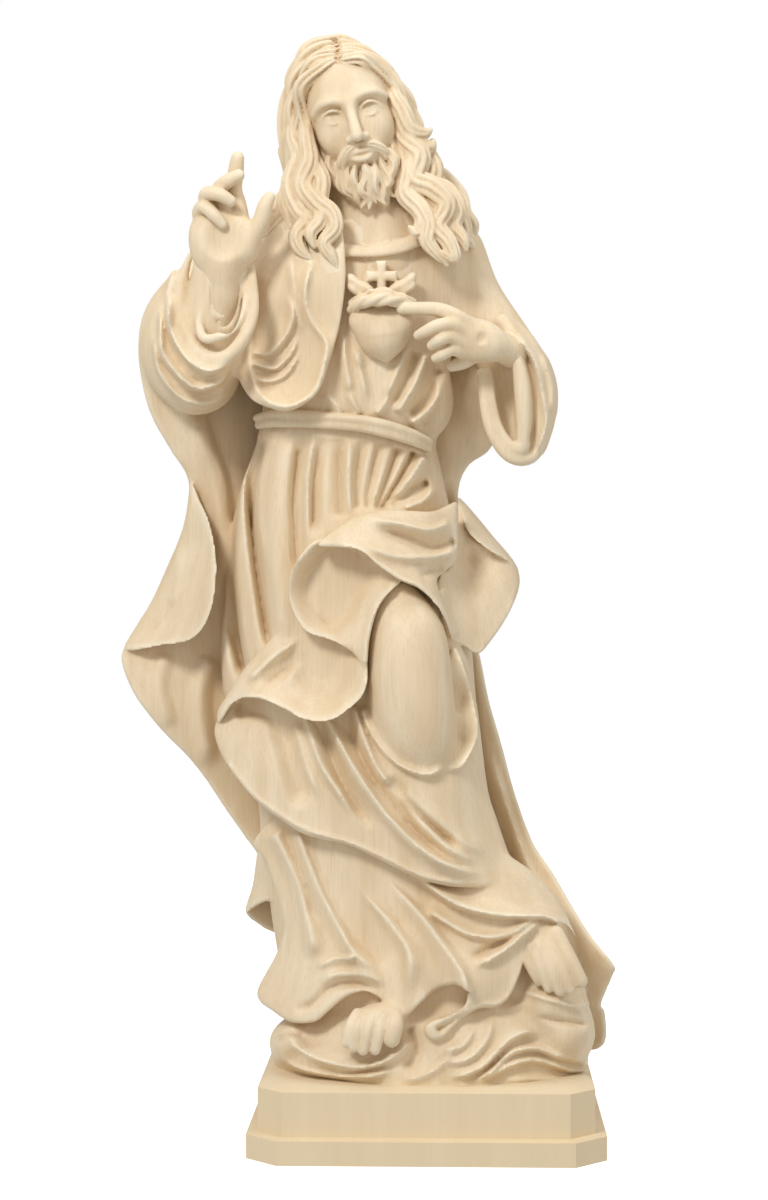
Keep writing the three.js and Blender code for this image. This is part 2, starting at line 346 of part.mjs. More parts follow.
    [[[19, 29.5], [34, 37.5], [47, 49], [61.5, 52.5]], 5, -4, [0.2, 0.2], 0, true],
    [[[23, 28.5], [34, 33.5], [45, 44], [58.5, 47], [72, 42.5], [89.5, 39.5]], 6, 6, [0.2, 0.1], -0.5],
    [[[27.5, 26.5], [44, 37], [58.5, 40.5], [78.5, 35], [91.5, 35]], 5, 5, [0.2, 0.1], -0.5],
    [[[9, 38], [23, 41.5], [33, 52.5], [36, 65.5]], 7, 5, [0.2, 0.2], -0.4],
    [[[7, 45], [19, 48], [26.5, 58]], 6, 4, [0.2, 0.2], -0.4],
    [[[39.5, 66.5], [53.5, 71], [68, 66.5], [80, 57], [89.5, 54.5]], 7, 4, [0.2, 0.1], -0.4],
    [[[39.5, 29.5], [61.5, 30.5], [86, 28.5]], 5, 3],
    [[[-10.5, 59], [-6, 46], [-13, 33]], 7, -5, [0.1, 0.2], 0, true],
  ], 4],
  ["ball", [65.5, -16, 70], [21, 36, 22], 0, 8],
  ["ball", [75.5, -22, 54.5], [15, 28, 16], 0, 8],
  ["ball", [-73, -16, 48], [12, 30, 13], 0, 6],
  ["ball", [34, -34, 53.5], [24, 20, 16], 0, 8],
  ["ball", [-47.5, -36, 40.5], [24, 22, 9], 0, 6],
  ["relief", [
    [[[50.5, 78.5], [64, 74], [80.5, 70], [89.5, 73]], 5, 3, [0.2, 0.2], -0.4],
    [[[58.5, 64.5], [72, 62], [88.5, 60]], 4, -2.5, [0.2, 0.2], 0, true],
    [[[-82.5, 49], [-75, 54.5], [-66, 52.5]], 4, -2.5, [0.2, 0.2], 0, true],
    [[[-78, 57], [-71.5, 47], [-57.5, 39.5], [-39, 36.5], [-20.5, 39.5], [-9.5, 47], [-7.5, 57]], 5, 3.5,
      [0.2, 0.2], -0.4],
    [[[-82.5, 43.5], [-71.5, 36], [-54, 31.5], [-33.5, 31], [-15, 36]], 4.5, 3, [0.2, 0.2], -0.4],
    [[[-14, 28.5], [0.5, 33], [11, 41.5], [16.5, 51.5]], 5, 3, [0.2, 0.2], 0.4],
  ], 10],
  // right foot, half hidden by the gown
  ["ball", [-28, -53, 61.5], [17, 14, 9.5], 14, 3],
  ["tube", [[-38, -58, 65.5, 3.2], [-41.5, -64, 59, 3.2], [-44, -65, 49.5, 2.8]], 1],
  ["tube", [[-33.5, -60, 65.5, 3.2], [-37.5, -66, 58, 3.2], [-40, -66, 47, 2.9]], 1],
  ["tube", [[-28.5, -60, 65.5, 3.4], [-32, -67, 58, 3.4], [-35, -67, 45.5, 3]], 1],
  ["tube", [[-23.5, -60, 65.5, 3.6], [-26, -66, 57, 3.6], [-28.5, -66, 46, 3.2]], 1],
  ["tube", [[-18, -58, 65.5, 4.4], [-18, -64, 59, 5], [-19.5, -65, 51.5, 4.6]], 1],
  // left foot on the cloud at the viewer's right
  ["ball", [64, -42, 101.5], [13, 12, 15], 35, 3],
  ["tube", [[69.5, -48, 109, 5], [76.5, -53, 96, 4.8], [83, -53, 84, 4.2]], 1.2],
  ["tube", [[65, -50, 104.5, 4.4], [72, -55, 90.5, 4], [77.5, -54, 79.5, 3.3]], 0.8],
  ["tube", [[60.5, -51, 103.5, 4.2], [67.5, -55, 89, 3.8], [72, -54, 78.5, 3.1]], 0.8],
  ["tube", [[56.5, -50, 102.5, 4.2], [62, -54, 90, 3.6], [66, -53, 80, 2.9]], 0.8],
  ["tube", [[53, -48, 100.5, 4.2], [57, -52, 91, 3.4], [60.5, -51, 83.5, 2.7]], 0.8],
];
const HEAD = [
  // skull, face, jaw, neck
  ["face", "ball", [0, 3, 10], [26, 33, 29], 2],
  ["face", "ball", [0, -5, -6], [22.5, 25, 30], 6],
  ["face", "ball", [0, -13, -24], [15, 15, 12], 6],
  ["tube", [[-35.5, 2, 535.5, 17], [-30, 0, 514, 18.5], [-26, -4, 495, 21], [-23.5, -6, 475, 24]], 6],
  ["pair", "tube", [[-3, -28.8, 7.8, 1.4], [-8, -29.4, 10, 1.9], [-15, -26.4, 10, 1.9],
    [-20, -21, 6, 1.4]], 6],
  ["pair", "ball", [10.2, -32.5, 2.4], [7.5, 5, 4.8], -6, 4, true],
  ["pair", "ball", [10.4, -21.4, 2.2], [6.4, 6.2, 6.2], 0, 0.8],
  ["pair", "ball", [12.5, -19.5, -8], [7, 7, 9], 0, 7],
  ["pair", "tube", [[4.4, -26.2, 1, 0.5], [7.2, -28.4, 4.5, 0.8], [10.8, -29, 5.6, 0.9],
    [14.2, -27, 4.3, 0.8], [16.6, -24.6, 1.4, 0.6]], 0.5],
  ["pair", "tube", [[4.6, -26.2, 0.8, 0.4], [7.6, -28, -1.3, 0.6], [11.4, -28, -1.9, 0.7],
    [16.2, -24.8, 1, 0.5]], 0.5],
  ["pair", "tube", [[5.2, -27.8, 5.2, 0.5], [10.6, -30.2, 7.8, 0.6], [16.4, -26.2, 5.2, 0.5]], 1.2, true],
  ["pair", "ball", [10.6, -28.2, 2.4], [1.5, 1, 1.5], 0, 0.4, true],
  ["face", "tube", [[0, -28.5, 7, 2.6], [0, -32, 0, 2.7], [0, -35.8, -7, 3.1], [0, -37.6, -11, 3.4]],
    3.5],
  ["pair", "ball", [4.1, -33.2, -12.4], [2.6, 3.6, 2.4], 0, 2.6],
  ["pair", "ball", [2.2, -36.2, -14.8], [1.2, 1.7, 0.9], 0, 0.6, true],
  // mouth
  ["face", "ball", [0, -24.5, -20], [11.5, 8.5, 8.5], 4],
  ["face", "tube", [[-7.6, -30.2, -21.2, 0.7], [-4, -32.4, -20.1, 1.4], [-1.2, -33.3, -19.6, 1.5],
    [0, -33.1, -19.9, 1.4], [1.2, -33.3, -19.6, 1.5], [4, -32.4, -20.1, 1.4], [7.6, -30.2, -21.2, 0.7]],
    1],
  ["face", "tube", [[-6.2, -30.8, -22.4, 0.8], [-3, -32.4, -23.6, 1.7], [0, -32.9, -24, 1.8],
    [3, -32.4, -23.6, 1.7], [6.2, -30.8, -22.4, 0.8]], 1],
  // moustache and beard
  ["pair", "lock", [[0.6, -32, -15.4, 1.2], [4, -32.6, -16.4, 2.3], [8, -30.4, -18.4, 2.8],
    [11.8, -27.4, -22, 2.6], [14.6, -24.6, -26.6, 1]], 7, 0.35, 0.2, 1],
  ["pair", "lock", [[1.2, -32.2, -17, 0.8], [4.6, -32.2, -18.2, 1.5], [8.2, -30, -20.4, 2],
    [10.6, -28, -23.4, 2], [12, -26.8, -27.4, 0.9]], 5, 0.35, 0.2, 0.8],
  ["face", "ball", [0, -16, -37], [15, 12.5, 13.5], 4],
  ["pair", "lock", [[23, 2, -6, 3], [22, -6, -17, 4.6], [17, -14, -27, 6], [9, -20, -34, 7],
    [5, -22, -42, 6], [5.5, -22, -50, 3]], 11, 0.12, 0.05, 3],
  ["pair", "tresses", [[1.2, -29.6, -28.6, 1.2], [2.6, -30.4, -34, 2.2], [3.6, -30, -41, 2.6],
    [2.6, -28.6, -46, 2.2], [4.6, -27.4, -51, 0.8]], [[12.5, -25, -24, 1.6], [13.4, -25.4, -31, 2.6],
    [12, -25, -38, 2.8], [9, -24.6, -43, 2.4], [9.4, -23.6, -48, 0.8]], 4, 4, 0.4, 1.7, 0.7],
  ["pair", "tresses", [[14.6, -23.6, -23, 1.6], [15.6, -23, -29, 2.6], [14, -22.6, -36, 2.8],
    [11.4, -22, -42, 2.2], [10.6, -21, -47, 0.8]], [[22.8, -4, -7, 1.6], [23, -9, -14, 2.8],
    [21.4, -14, -22, 3], [18, -17, -30, 2.6], [15.6, -18.6, -36, 0.9]], 4, 4, 0.4, 1.6, 0.7],
  ["face", "lock", [[0, -30.4, -26.4, 1.2], [0, -31.6, -30, 2.2], [1, -31.2, -36, 2.2],
    [-1.2, -29.6, -43, 2], [0.8, -28, -49, 0.8]], 5, 0.35, 0.1, 0.8],
  // back of the head and of the hair
  ["face", "ball", [-4, 13, 10], [31, 28, 31], 2],
  ["tube", [[-45.5, 10, 565.5, 27], [-41, 12, 546.5, 29], [-35.5, 12, 525, 30], [-31.5, 10, 506, 28]], 6],
  ["tube", [[-60.5, 14, 513, 12], [-47.5, 18, 500.5, 14], [-30, 20, 496.5, 15], [-12, 18, 497.5, 14],
    [1.5, 14, 506, 12]], 6],
  ["tresses", [[-47.5, 10, 588.5, 5], [-65, 20, 577.5, 8], [-70.5, 22, 557.5, 8.5], [-70, 22, 535.5, 8.5],
    [-66, 18, 516, 8.5], [-63, 18, 498.5, 6]], [[-44.5, 18, 588.5, 5], [-44.5, 34, 577, 8],
    [-42, 39, 557.5, 8.5], [-39, 39, 535.5, 8.5], [-35.5, 34, 515, 8.5], [-33.5, 30, 494.5, 6]],
    4, 6, 0.25, 1.4, 1.5],
  ["tresses", [[-44.5, 18, 588.5, 5], [-39, 34, 577, 8], [-35.5, 39, 557.5, 8.5], [-31.5, 39, 535.5, 8.5],
    [-28, 34, 515, 8.5], [-26, 30, 494.5, 6]], [[-44.5, 10, 588.5, 5], [-29, 20, 578, 8],
    [-16.5, 22, 561, 8.5], [-9.5, 22, 538, 8.5], [-5, 18, 517, 8.5], [-2, 16, 501, 6]],
    4, 6, 0.25, 1.4, 1.5],
  // hair from the parting, to the viewer's left and right
  ["tresses", [[-50.5, -22, 584.5, 2.6], [-59, -21, 581, 4], [-65.5, -18, 571, 4.6],
    [-68.5, -13, 557.5, 4.8], [-66.5, -12, 542.5, 4.8], [-65, -16, 527, 5]], [[-47.5, 4, 595.5, 4.4],
    [-61, 6, 590, 6.5], [-70.5, 8, 576, 7.2], [-73, 8, 559.5, 7.2], [-72.5, 4, 540, 7],
    [-70, -2, 519.5, 6]], 6, 6, 0.6, 3, 0.4],
  ["tresses", [[-49, -22, 584.5, 2.6], [-39.5, -22, 586, 4.2], [-27.5, -18, 581, 4.8],
    [-20, -13, 568.5, 5], [-14.5, -12, 554, 5], [-10, -14, 542.5, 4.6]], [[-47.5, 4, 595.5, 4.4],
    [-38, 6, 590, 6.5], [-27.5, 8, 577, 7.2], [-16, 8, 561.5, 7.2], [-8, 4, 544.5, 7], [-5, -4, 526, 6]],
    6, 6, 0.6, 3, 0.4],
  ["relief", [
    [[[-51.5, 598], [-49, 591.5], [-48.5, 581.5]], 3.5, -2.4, [0.2, 0.15]],
  ], 8],
  // mass of the falling hair
  ["tube", [[-70, -4, 541, 9], [-67.5, -10, 524, 10], [-67, -17, 508.5, 10], [-64, -25, 495.5, 9],
    [-59.5, -30, 484.5, 6]], 3],
  ["tube", [[-10.5, -4, 541, 9], [-6, -8, 524, 11], [0.5, -15, 508.5, 12], [5.5, -22, 495.5, 11],
    [10, -28, 483.5, 6]], 3],
  // locks on the viewer's left, falling on the chest
  ["lock", [[-69.5, 3, 567.5, 1.5], [-72, -8, 545.5, 5.4], [-68.5, -15, 531.5, 7], [-73, -19, 517, 7],
    [-69.5, -26, 504.5, 6.4], [-65, -31, 497.5, 5.6], [-71, -34, 489.5, 5], [-69, -36, 482, 4],
    [-63, -38, 476.5, 1.2]], 8, 0.28, 0.06, 0.7],
  ["lock", [[-67.5, 0, 565, 1.5], [-66, -16, 544.5, 4.4], [-64, -23, 530.5, 5.6], [-67.5, -26, 517, 6.2],
    [-60.5, -31, 507.5, 6.2], [-52.5, -34, 501.5, 5.6], [-50.5, -37, 493.5, 4.8], [-56, -39, 485.5, 4.2],
    [-52.5, -40, 478.5, 3.4], [-48.5, -40, 471.5, 1]], 8, 0.28, -0.06, 0.7],
  ["lock", [[-65, -12, 544.5, 2.4], [-62.5, -19, 532.5, 4.2], [-58, -25, 520.5, 5.4],
    [-59, -29, 509.5, 5.4], [-58, -35, 498.5, 4.8], [-63.5, -38, 491, 4], [-61.5, -39, 483.5, 1.4]],
    7, 0.28, 0.06, 0.7],
  ["lock", [[-74.5, 2, 535.5, 7], [-71.5, -4, 521.5, 7], [-76, -8, 508.5, 6.4], [-73, -14, 498.5, 5],
    [-77, -15, 491.5, 1.6]], 8, 0.25, -0.06, 0.8],
  // locks on the viewer's right
  ["lock", [[-23, 2, 581.5, 1.5], [-18.5, -14, 566, 4.4], [-14, -17, 557.5, 5.4], [-9.5, -18, 547.5, 5.2],
    [-2, -16, 544.5, 3.6], [2, -14, 547, 1.2]], 7, 0.28, 0.05, 0.7],
  ["lock", [[-19.5, 1, 571.5, 1.5], [-14.5, -15, 552, 5], [-8, -17, 540.5, 5.6], [0.5, -15, 537, 4.4],
    [3, -13, 541, 1.4]], 7, 0.28, -0.05, 0.7],
  ["lock", [[-16.5, 1, 564, 1.5], [-14, -15, 544.5, 5.6], [-4.5, -19, 533, 6.8], [-7.5, -22, 520.5, 7],
    [2.5, -25, 514.5, 7], [10, -28, 505.5, 6.2], [5.5, -32, 494.5, 5.6], [11.5, -36, 485.5, 5],
    [14, -38, 477.5, 4.2], [8.5, -39, 479.5, 2]], 8, 0.28, 0.05, 0.7],
  ["lock", [[-15, -8, 550, 2.6], [-13.5, -15, 538, 5], [-11, -21, 525, 6], [-12, -25, 512.5, 6],
    [-4, -30, 504, 6], [0.5, -34, 495.5, 5.4], [0, -37, 486.5, 4.6], [5, -38, 479.5, 3.4],
    [11, -38, 473, 1]], 8, 0.28, -0.05, 0.7],
  ["lock", [[-4, -8, 537, 6], [2, -13, 526, 7], [1, -16, 517, 7], [10, -17, 512.5, 6.6],
    [15.5, -21, 503, 5.8], [14, -26, 494.5, 5], [19.5, -29, 486.5, 3.6], [21, -30, 481, 1.2]],
    8, 0.28, 0.05, 0.7],
  ["lock", [[-14, -16, 524, 4.8], [-9, -25, 510.5, 5.2], [-3, -32, 499.5, 4.4], [-5.5, -35, 491, 3.2],
    [-9.5, -36, 494, 1.2]], 7, 0.28, -0.05, 0.7],
  // ends of the back hair on the shoulders
  ["lock", [[-70.5, 6, 514, 7], [-78, 4, 508.5, 6], [-82.5, -2, 502, 5], [-88, -6, 500, 4],
    [-90.5, -8, 493.5, 1.4]], 5, 0.4, 0.05, 1],
  ["lock", [[-71.5, 2, 506.5, 5], [-79, -4, 500, 4.6], [-85.5, -8, 493.5, 3], [-89, -10, 489, 1.2]],
    5, 0.4, 0.05, 1],
  ["lock", [[7, 6, 519.5, 7], [15.5, 4, 510.5, 6.4], [19, 0, 501, 5.4], [24.5, -2, 494.5, 4],
    [24.5, -4, 486.5, 1.4]], 5, 0.4, 0.05, 1],
  ["lock", [[12.5, -6, 506, 5], [19.5, -10, 496.5, 4.4], [21, -14, 488, 3.6], [25.5, -14, 482.5, 1.2]],
    5, 0.4, 0.05, 1],
];
const HAND = [
  // right hand, raised, palm to the viewer
  ["tube", [[-113.5, -40, 444.5, 9], [-112.5, -42, 454, 10], [-112, -43, 464, 10.8],
    [-111.5, -44, 473.5, 12.4], [-110.5, -45, 481.5, 13]], 6],
  ["ball", [-110.5, -45, 486.5], [18, 9, 17], 0, 4],
  ["ball", [-117.5, -44, 492], [12, 7.5, 12], 0, 4],
  ["ball", [-101.5, -47, 486.5], [9, 8, 13], 14, 5],
  ["ball", [-120, -46, 485.5], [8, 7.5, 13], -10, 6],
  ["ball", [-110.5, -57, 489], [11, 4, 11], 0, 4, true],
  ["tube", [[-102, -43, 496.5, 5.4], [-103.5, -42, 506.5, 4.8], [-105.5, -42, 515, 4.5],
    [-104.5, -42, 524, 4.4], [-103.5, -43, 532, 3.6]], 1.5],
  ["tube", [[-108.5, -43, 497.5, 5], [-112.5, -44, 508.5, 4.4], [-113.5, -47, 515, 4.2],
    [-108.5, -51, 519.5, 4], [-103, -52, 522.5, 3.4]], 1.2],
  ["tube", [[-116, -43, 498.5, 5], [-120.5, -45, 507.5, 4.2], [-120, -50, 512.5, 4.1],
    [-113.5, -54, 512, 3.9], [-107.5, -54, 508.5, 3.3]], 1],
  ["tube", [[-121.5, -43, 494.5, 4.8], [-124.5, -45, 502, 4], [-122, -50, 505.5, 3.8],
    [-116.5, -54, 501, 3.6], [-112, -54, 496, 3]], 1],
  ["tube", [[-100, -47, 481.5, 7], [-94.5, -49, 491, 5.4], [-90.5, -50, 498.5, 4.6],
    [-88.5, -50, 505.5, 4.2], [-86, -49, 510.5, 3.2]], 2],
];
const POINTING_HAND = [
  // left hand, its back to the viewer, pointing at the heart
  ["tube", [[46, -34, 426, 9], [41.5, -38, 428, 8.5], [35, -42, 429.5, 8.6]], 3],
  ["ball", [26.5, -45, 432], [16, 8, 12], -8, 4],
  ["ball", [19, -46, 435.5], [9, 7, 9], 0, 4],
  ["tube", [[22, -47, 440, 5.4], [15, -50, 445, 4.5], [7, -50, 448.5, 4.1], [-3, -49, 449.5, 3.7],
    [-14, -46, 449.5, 3.1]], 1.5],
  ["tube", [[20, -49, 435.5, 4.6], [13.5, -54, 440.5, 4], [5.5, -56, 440, 3.6], [-1, -54, 437, 3.2],
    [-5, -50, 435, 2.6]], 1.2],
  ["tube", [[19, -49, 430, 4.4], [12.5, -54, 434, 3.8], [7, -56, 432.5, 3.4], [2.5, -52, 429.5, 2.8]],
    1.2],
  ["tube", [[19, -48, 426, 4], [13.5, -52, 427, 3.4], [8.5, -53, 424.5, 3.1], [4.5, -50, 422.5, 2.5]],
    1.2],
  ["tube", [[27.5, -42, 426, 5], [20, -42, 420.5, 4], [13.5, -40, 418, 3]], 1.5],
  ["ball", [30, -53.5, 433.5], [3, 2.4, 4.2], -20, 1, true],
];
const HEART = [
  // heart, thorns, flames and cross
  ["ball", [-31.5, -38, 442], [11.5, 8, 9], -12, 2],
  ["ball", [-17, -38, 442.5], [11, 8, 9], 12, 3],
  ["ball", [-24.5, -38, 436], [14.5, 9, 13], 0, 4],
  ["tube", [[-24, -38, 435, 11], [-23, -38, 428, 6.5], [-22.5, -37, 422, 2]], 4],
  ["ball", [-30, -47.5, 445], [3, 1.6, 1.2], 0, 0.8, true],
  ["lock", [[-41.5, -39, 449, 2.6], [-35.5, -46, 453, 3.8], [-27, -49.5, 454.5, 4], [-18, -48, 454, 3.8],
    [-9, -41, 451, 2.8]], 3, 0.4, 0.35, 0.8],
  ["lock", [[-41.5, -37, 452.5, 2], [-33.5, -42, 456.5, 3], [-23.5, -44, 458, 3.4], [-14, -42, 455.5, 3],
    [-7.5, -37, 453, 2]], 3, 0.4, -0.35, 0.8],
  ["sheet", [
    [-27.5, -38, 454], [-27.5, -38, 459.5], [-27.5, -38, 463.5], [-28, -38, 464.5], [-33, -38, 464],
    [-33.5, -38, 464.5], [-33.5, -38, 469.5], [-33, -38, 470], [-28, -38, 470], [-27.5, -38, 470.5],
    [-28, -38, 475], [-27, -38, 475.5],
    [-23, -38, 475.5], [-22, -38, 475], [-22.5, -38, 470.5], [-22, -38, 470], [-17, -38, 470],
    [-16.5, -38, 469.5], [-16.5, -38, 464.5], [-17, -38, 464], [-22, -38, 464.5], [-22.5, -38, 463.5],
    [-22.5, -38, 459.5], [-22.5, -38, 454],
  ], [], 10, [], 0.4],
  ["ball", [-36, -36, 460], [8.6, 5, 4.6], -24, 0.8],
  ["ball", [-40, -35, 464], [5.6, 4.4, 2.9], -52, 1.5],
  ["ball", [-14, -36, 460.5], [8.6, 5, 4.6], 24, 0.8],
  ["ball", [-10, -35, 464.5], [5.6, 4.4, 2.9], 52, 1.5],
  ["relief", [
    [[[-30.5, 456.5], [-36, 459.5], [-40.5, 462.5], [-42.5, 465.5]], 2.6, -0.9, [0.1, 0.2]],
    [[[-19.5, 457], [-14, 460], [-9.5, 463], [-8, 466]], 2.6, -0.9, [0.1, 0.2]],
  ], -34],
];

const FAR = 1e3;
const smooth = (t) => t * t * (3 - 2 * t);
const clamp01 = (t) => Math.min(1, Math.max(0, t));

// The smaller of two distances, rounded where they meet over a width of blend.
function joined(a, b, blend) {
  const h = Math.max(blend - Math.abs(a - b), 0) / (blend + 1e-9);
  return Math.min(a, b) - (h * h * blend) / 4;
}
const cutAway = (a, b, blend) => -joined(-a, b, blend);
const within = (a, b, blend) => -joined(-a, -b, blend);

// Points along a smooth curve through the given ones; every number of a point is interpolated.
function curve(points, steps, closed = false) {
  const n = points.length;
  const at = (i) => points[closed ? (i + n) % n : Math.min(n - 1, Math.max(0, i))];
  const out = [];
  for (let i = 0; i < (closed ? n : n - 1); i++) {
    const [p, q, r, s] = [at(i - 1), at(i), at(i + 1), at(i + 2)];
    for (let k = 0; k < steps; k++) {
      const t = k / steps;
      out.push(q.map((_, c) => q[c] + 0.5 * t * (r[c] - p[c] + t * (2 * p[c] - 5 * q[c] + 4 * r[c] - s[c]
        + t * (3 * q[c] - p[c] - 3 * r[c] + s[c])))));
    }
  }
  if (!closed) out.push([...points[n - 1]]);
  return out;
}

// Depth y as a smooth function of x and z through [x, y, z] points: a thin plate, slightly slack.
const SLACK = 30;
function plate(points) {
  const n = points.length;
  const m = n + 3;
  const kernel = (r2) => (r2 > 1e-9 ? 0.5 * r2 * Math.log(r2) : 0);
  const a = Array.from({ length: m }, () => new Float64Array(m + 1));
  points.forEach(([x, y, z], i) => {
    points.forEach(([u, , w], j) => { a[i][j] = kernel((x - u) ** 2 + (z - w) ** 2); });
    a[i][i] += SLACK;
    [1, x, z].forEach((value, c) => { a[i][n + c] = a[n + c][i] = value; });
    a[i][m] = y;
  });
  for (let c = 0; c < m; c++) {
    let best = c;
    for (let r = c + 1; r < m; r++) if (Math.abs(a[r][c]) > Math.abs(a[best][c])) best = r;
    [a[c], a[best]] = [a[best], a[c]];
    for (let r = 0; r < m; r++) {
      const f = r === c ? 0 : a[r][c] / a[c][c];
      if (f) for (let k = c; k <= m; k++) a[r][k] -= f * a[c][k];
    }
  }
  const w = a.map((row, i) => row[m] / row[i]);
  return (x, z) => points.reduce((y, p, i) => y + w[i] * kernel((x - p[0]) ** 2 + (z - p[2]) ** 2),
    w[n] + w[n + 1] * x + w[n + 2] * z);
}

// A polyline's segments as start, step, start radius, radius step and 1 / length squared.
function segments(line, axes) {
  const out = [];
  for (let i = 1; i < line.length; i++) {
    const [a, b] = [line[i - 1], line[i]];
    const d = [0, 1, 2].map((c) => (c < axes ? b[c] - a[c] : 0));
    const radius = axes === 3 ? [a[3], b[3] - a[3]] : [0, 0];
    out.push(Float64Array.of(a[0], a[1], axes === 3 ? a[2] : 0, ...d, ...radius,
      1 / (d[0] * d[0] + d[1] * d[1] + d[2] * d[2] + 1e-9)));
  }
  return out;
}

// Nearest spot of segments to a point: its distance less the radius, share of the segment, and index.
const found = { d: FAR, t: 0, i: 1 };
function nearest(parts, x, y, z) {
  found.d = FAR;
  for (let i = 0; i < parts.length; i++) {
    const p = parts[i];
    const [u, v, w] = [x - p[0], y - p[1], z - p[2]];
    let t = (u * p[3] + v * p[4] + w * p[5]) * p[8];
    t = t < 0 ? 0 : t > 1 ? 1 : t;
    const [a, b, c] = [u - t * p[3], v - t * p[4], w - t * p[5]];
    const d = Math.sqrt(a * a + b * b + c * c) - p[6] - t * p[7];
    if (d < found.d) [found.d, found.t, found.i] = [d, t, i + 1];
  }
  return found;
}
const lengths = (line, axes) => line.reduce((sum, p, i) => [...sum, i
  ? sum[i - 1] + Math.hypot(...line[i - 1].slice(0, axes).map((c, k) => p[k] - c)) : 0], []);
const least = (points, c) => Math.min(...points.map((p) => p[c]));
const most = (points, c) => Math.max(...points.map((p) => p[c]));

// Height that a stroke adds at x, z: [points, width, height, fades, lean, swap].
// Above nought it is a ridge with a crisp crest, below it a rounded hollow; swap exchanges the two.
// Fades are the shares of its length over which it rises and dies away. Lean narrows the side at the
// left of its way, or below nought the other side, by that share.
const CREST = 0.02;
function stroke([points, width, height, ends = [0.25, 0.25], lean = 0, swap = false]) {
  const line = curve(points, 5);
  const along = lengths(line, 2);
  const parts = segments(line, 2);
  const lo = [least(line, 0) - width, least(line, 1) - width];
  const hi = [most(line, 0) + width, most(line, 1) + width];
  const crisp = height > 0 !== swap;
  return (x, z) => {
    if (x < lo[0] || x > hi[0] || z < lo[1] || z > hi[1]) return 0;
    const { d, t, i } = nearest(parts, x, z, 0);
    if (d >= width) return 0;
    const [a, b] = [line[i - 1], line[i]];
    const left = (b[0] - a[0]) * (z - a[1]) - (b[1] - a[1]) * (x - a[0]);
    const share = d / width / (left * lean > 0 ? 1 - Math.abs(lean) : 1);
    if (share >= 1) return 0;
    const s = (along[i - 1] + t * (along[i] - along[i - 1])) / along[along.length - 1];
    const fade = smooth(clamp01(s / (ends[0] + 1e-3))) * smooth(clamp01((1 - s) / (ends[1] + 1e-3)));
    const ridge = (Math.max(0, 1 - Math.sqrt(share ** 2 + CREST)) / (1 - Math.sqrt(CREST))) ** 2;
    return height * fade * (crisp ? ridge : (1 - share ** 2) ** 2);
  };
}
const total = (strokes, x, z) => strokes.reduce((sum, f) => sum + f(x, z), 0);

// Signed distance in the front plane to a closed outline, negative inside.
function outlineDistance(points) {
  const p = curve(points, 5, true).map((q) => [q[0], q[2]]);
  const ring = [p[p.length - 1], ...p];
  const parts = segments(ring, 2);
  return (x, z) => {
    let inside = false;
    for (let i = 1; i < ring.length; i++) {
      const [ax, az] = ring[i - 1];
      const [bx, bz] = ring[i];
      if (bz > z !== az > z && x < ((bx - ax) * (z - az)) / (bz - az) + ax) inside = !inside;
    }
    return (inside ? -1 : 1) * nearest(parts, x, z, 0).d;
  };
}

// Twist of the tresses' grooves, in radians a mm.
const TRESS_TWIST = 0.03;
// Width over which a body's front gives way to its back, in mm.
const SIDE = 12;
// A sheet thicker than this is a block; its sides draw in by DRAFT a mm from BLOCK_EDGE behind its face.
const BLOCK = 8;
const BLOCK_EDGE = 4;
const DRAFT = 0.3;
// Room in front of and behind a sheet for its strokes.
const ROOM = 14;
// Relief reaches this far forward, and dies away over FADE behind the depth it is given.
const FRONT = -200;
const FADE = 8;

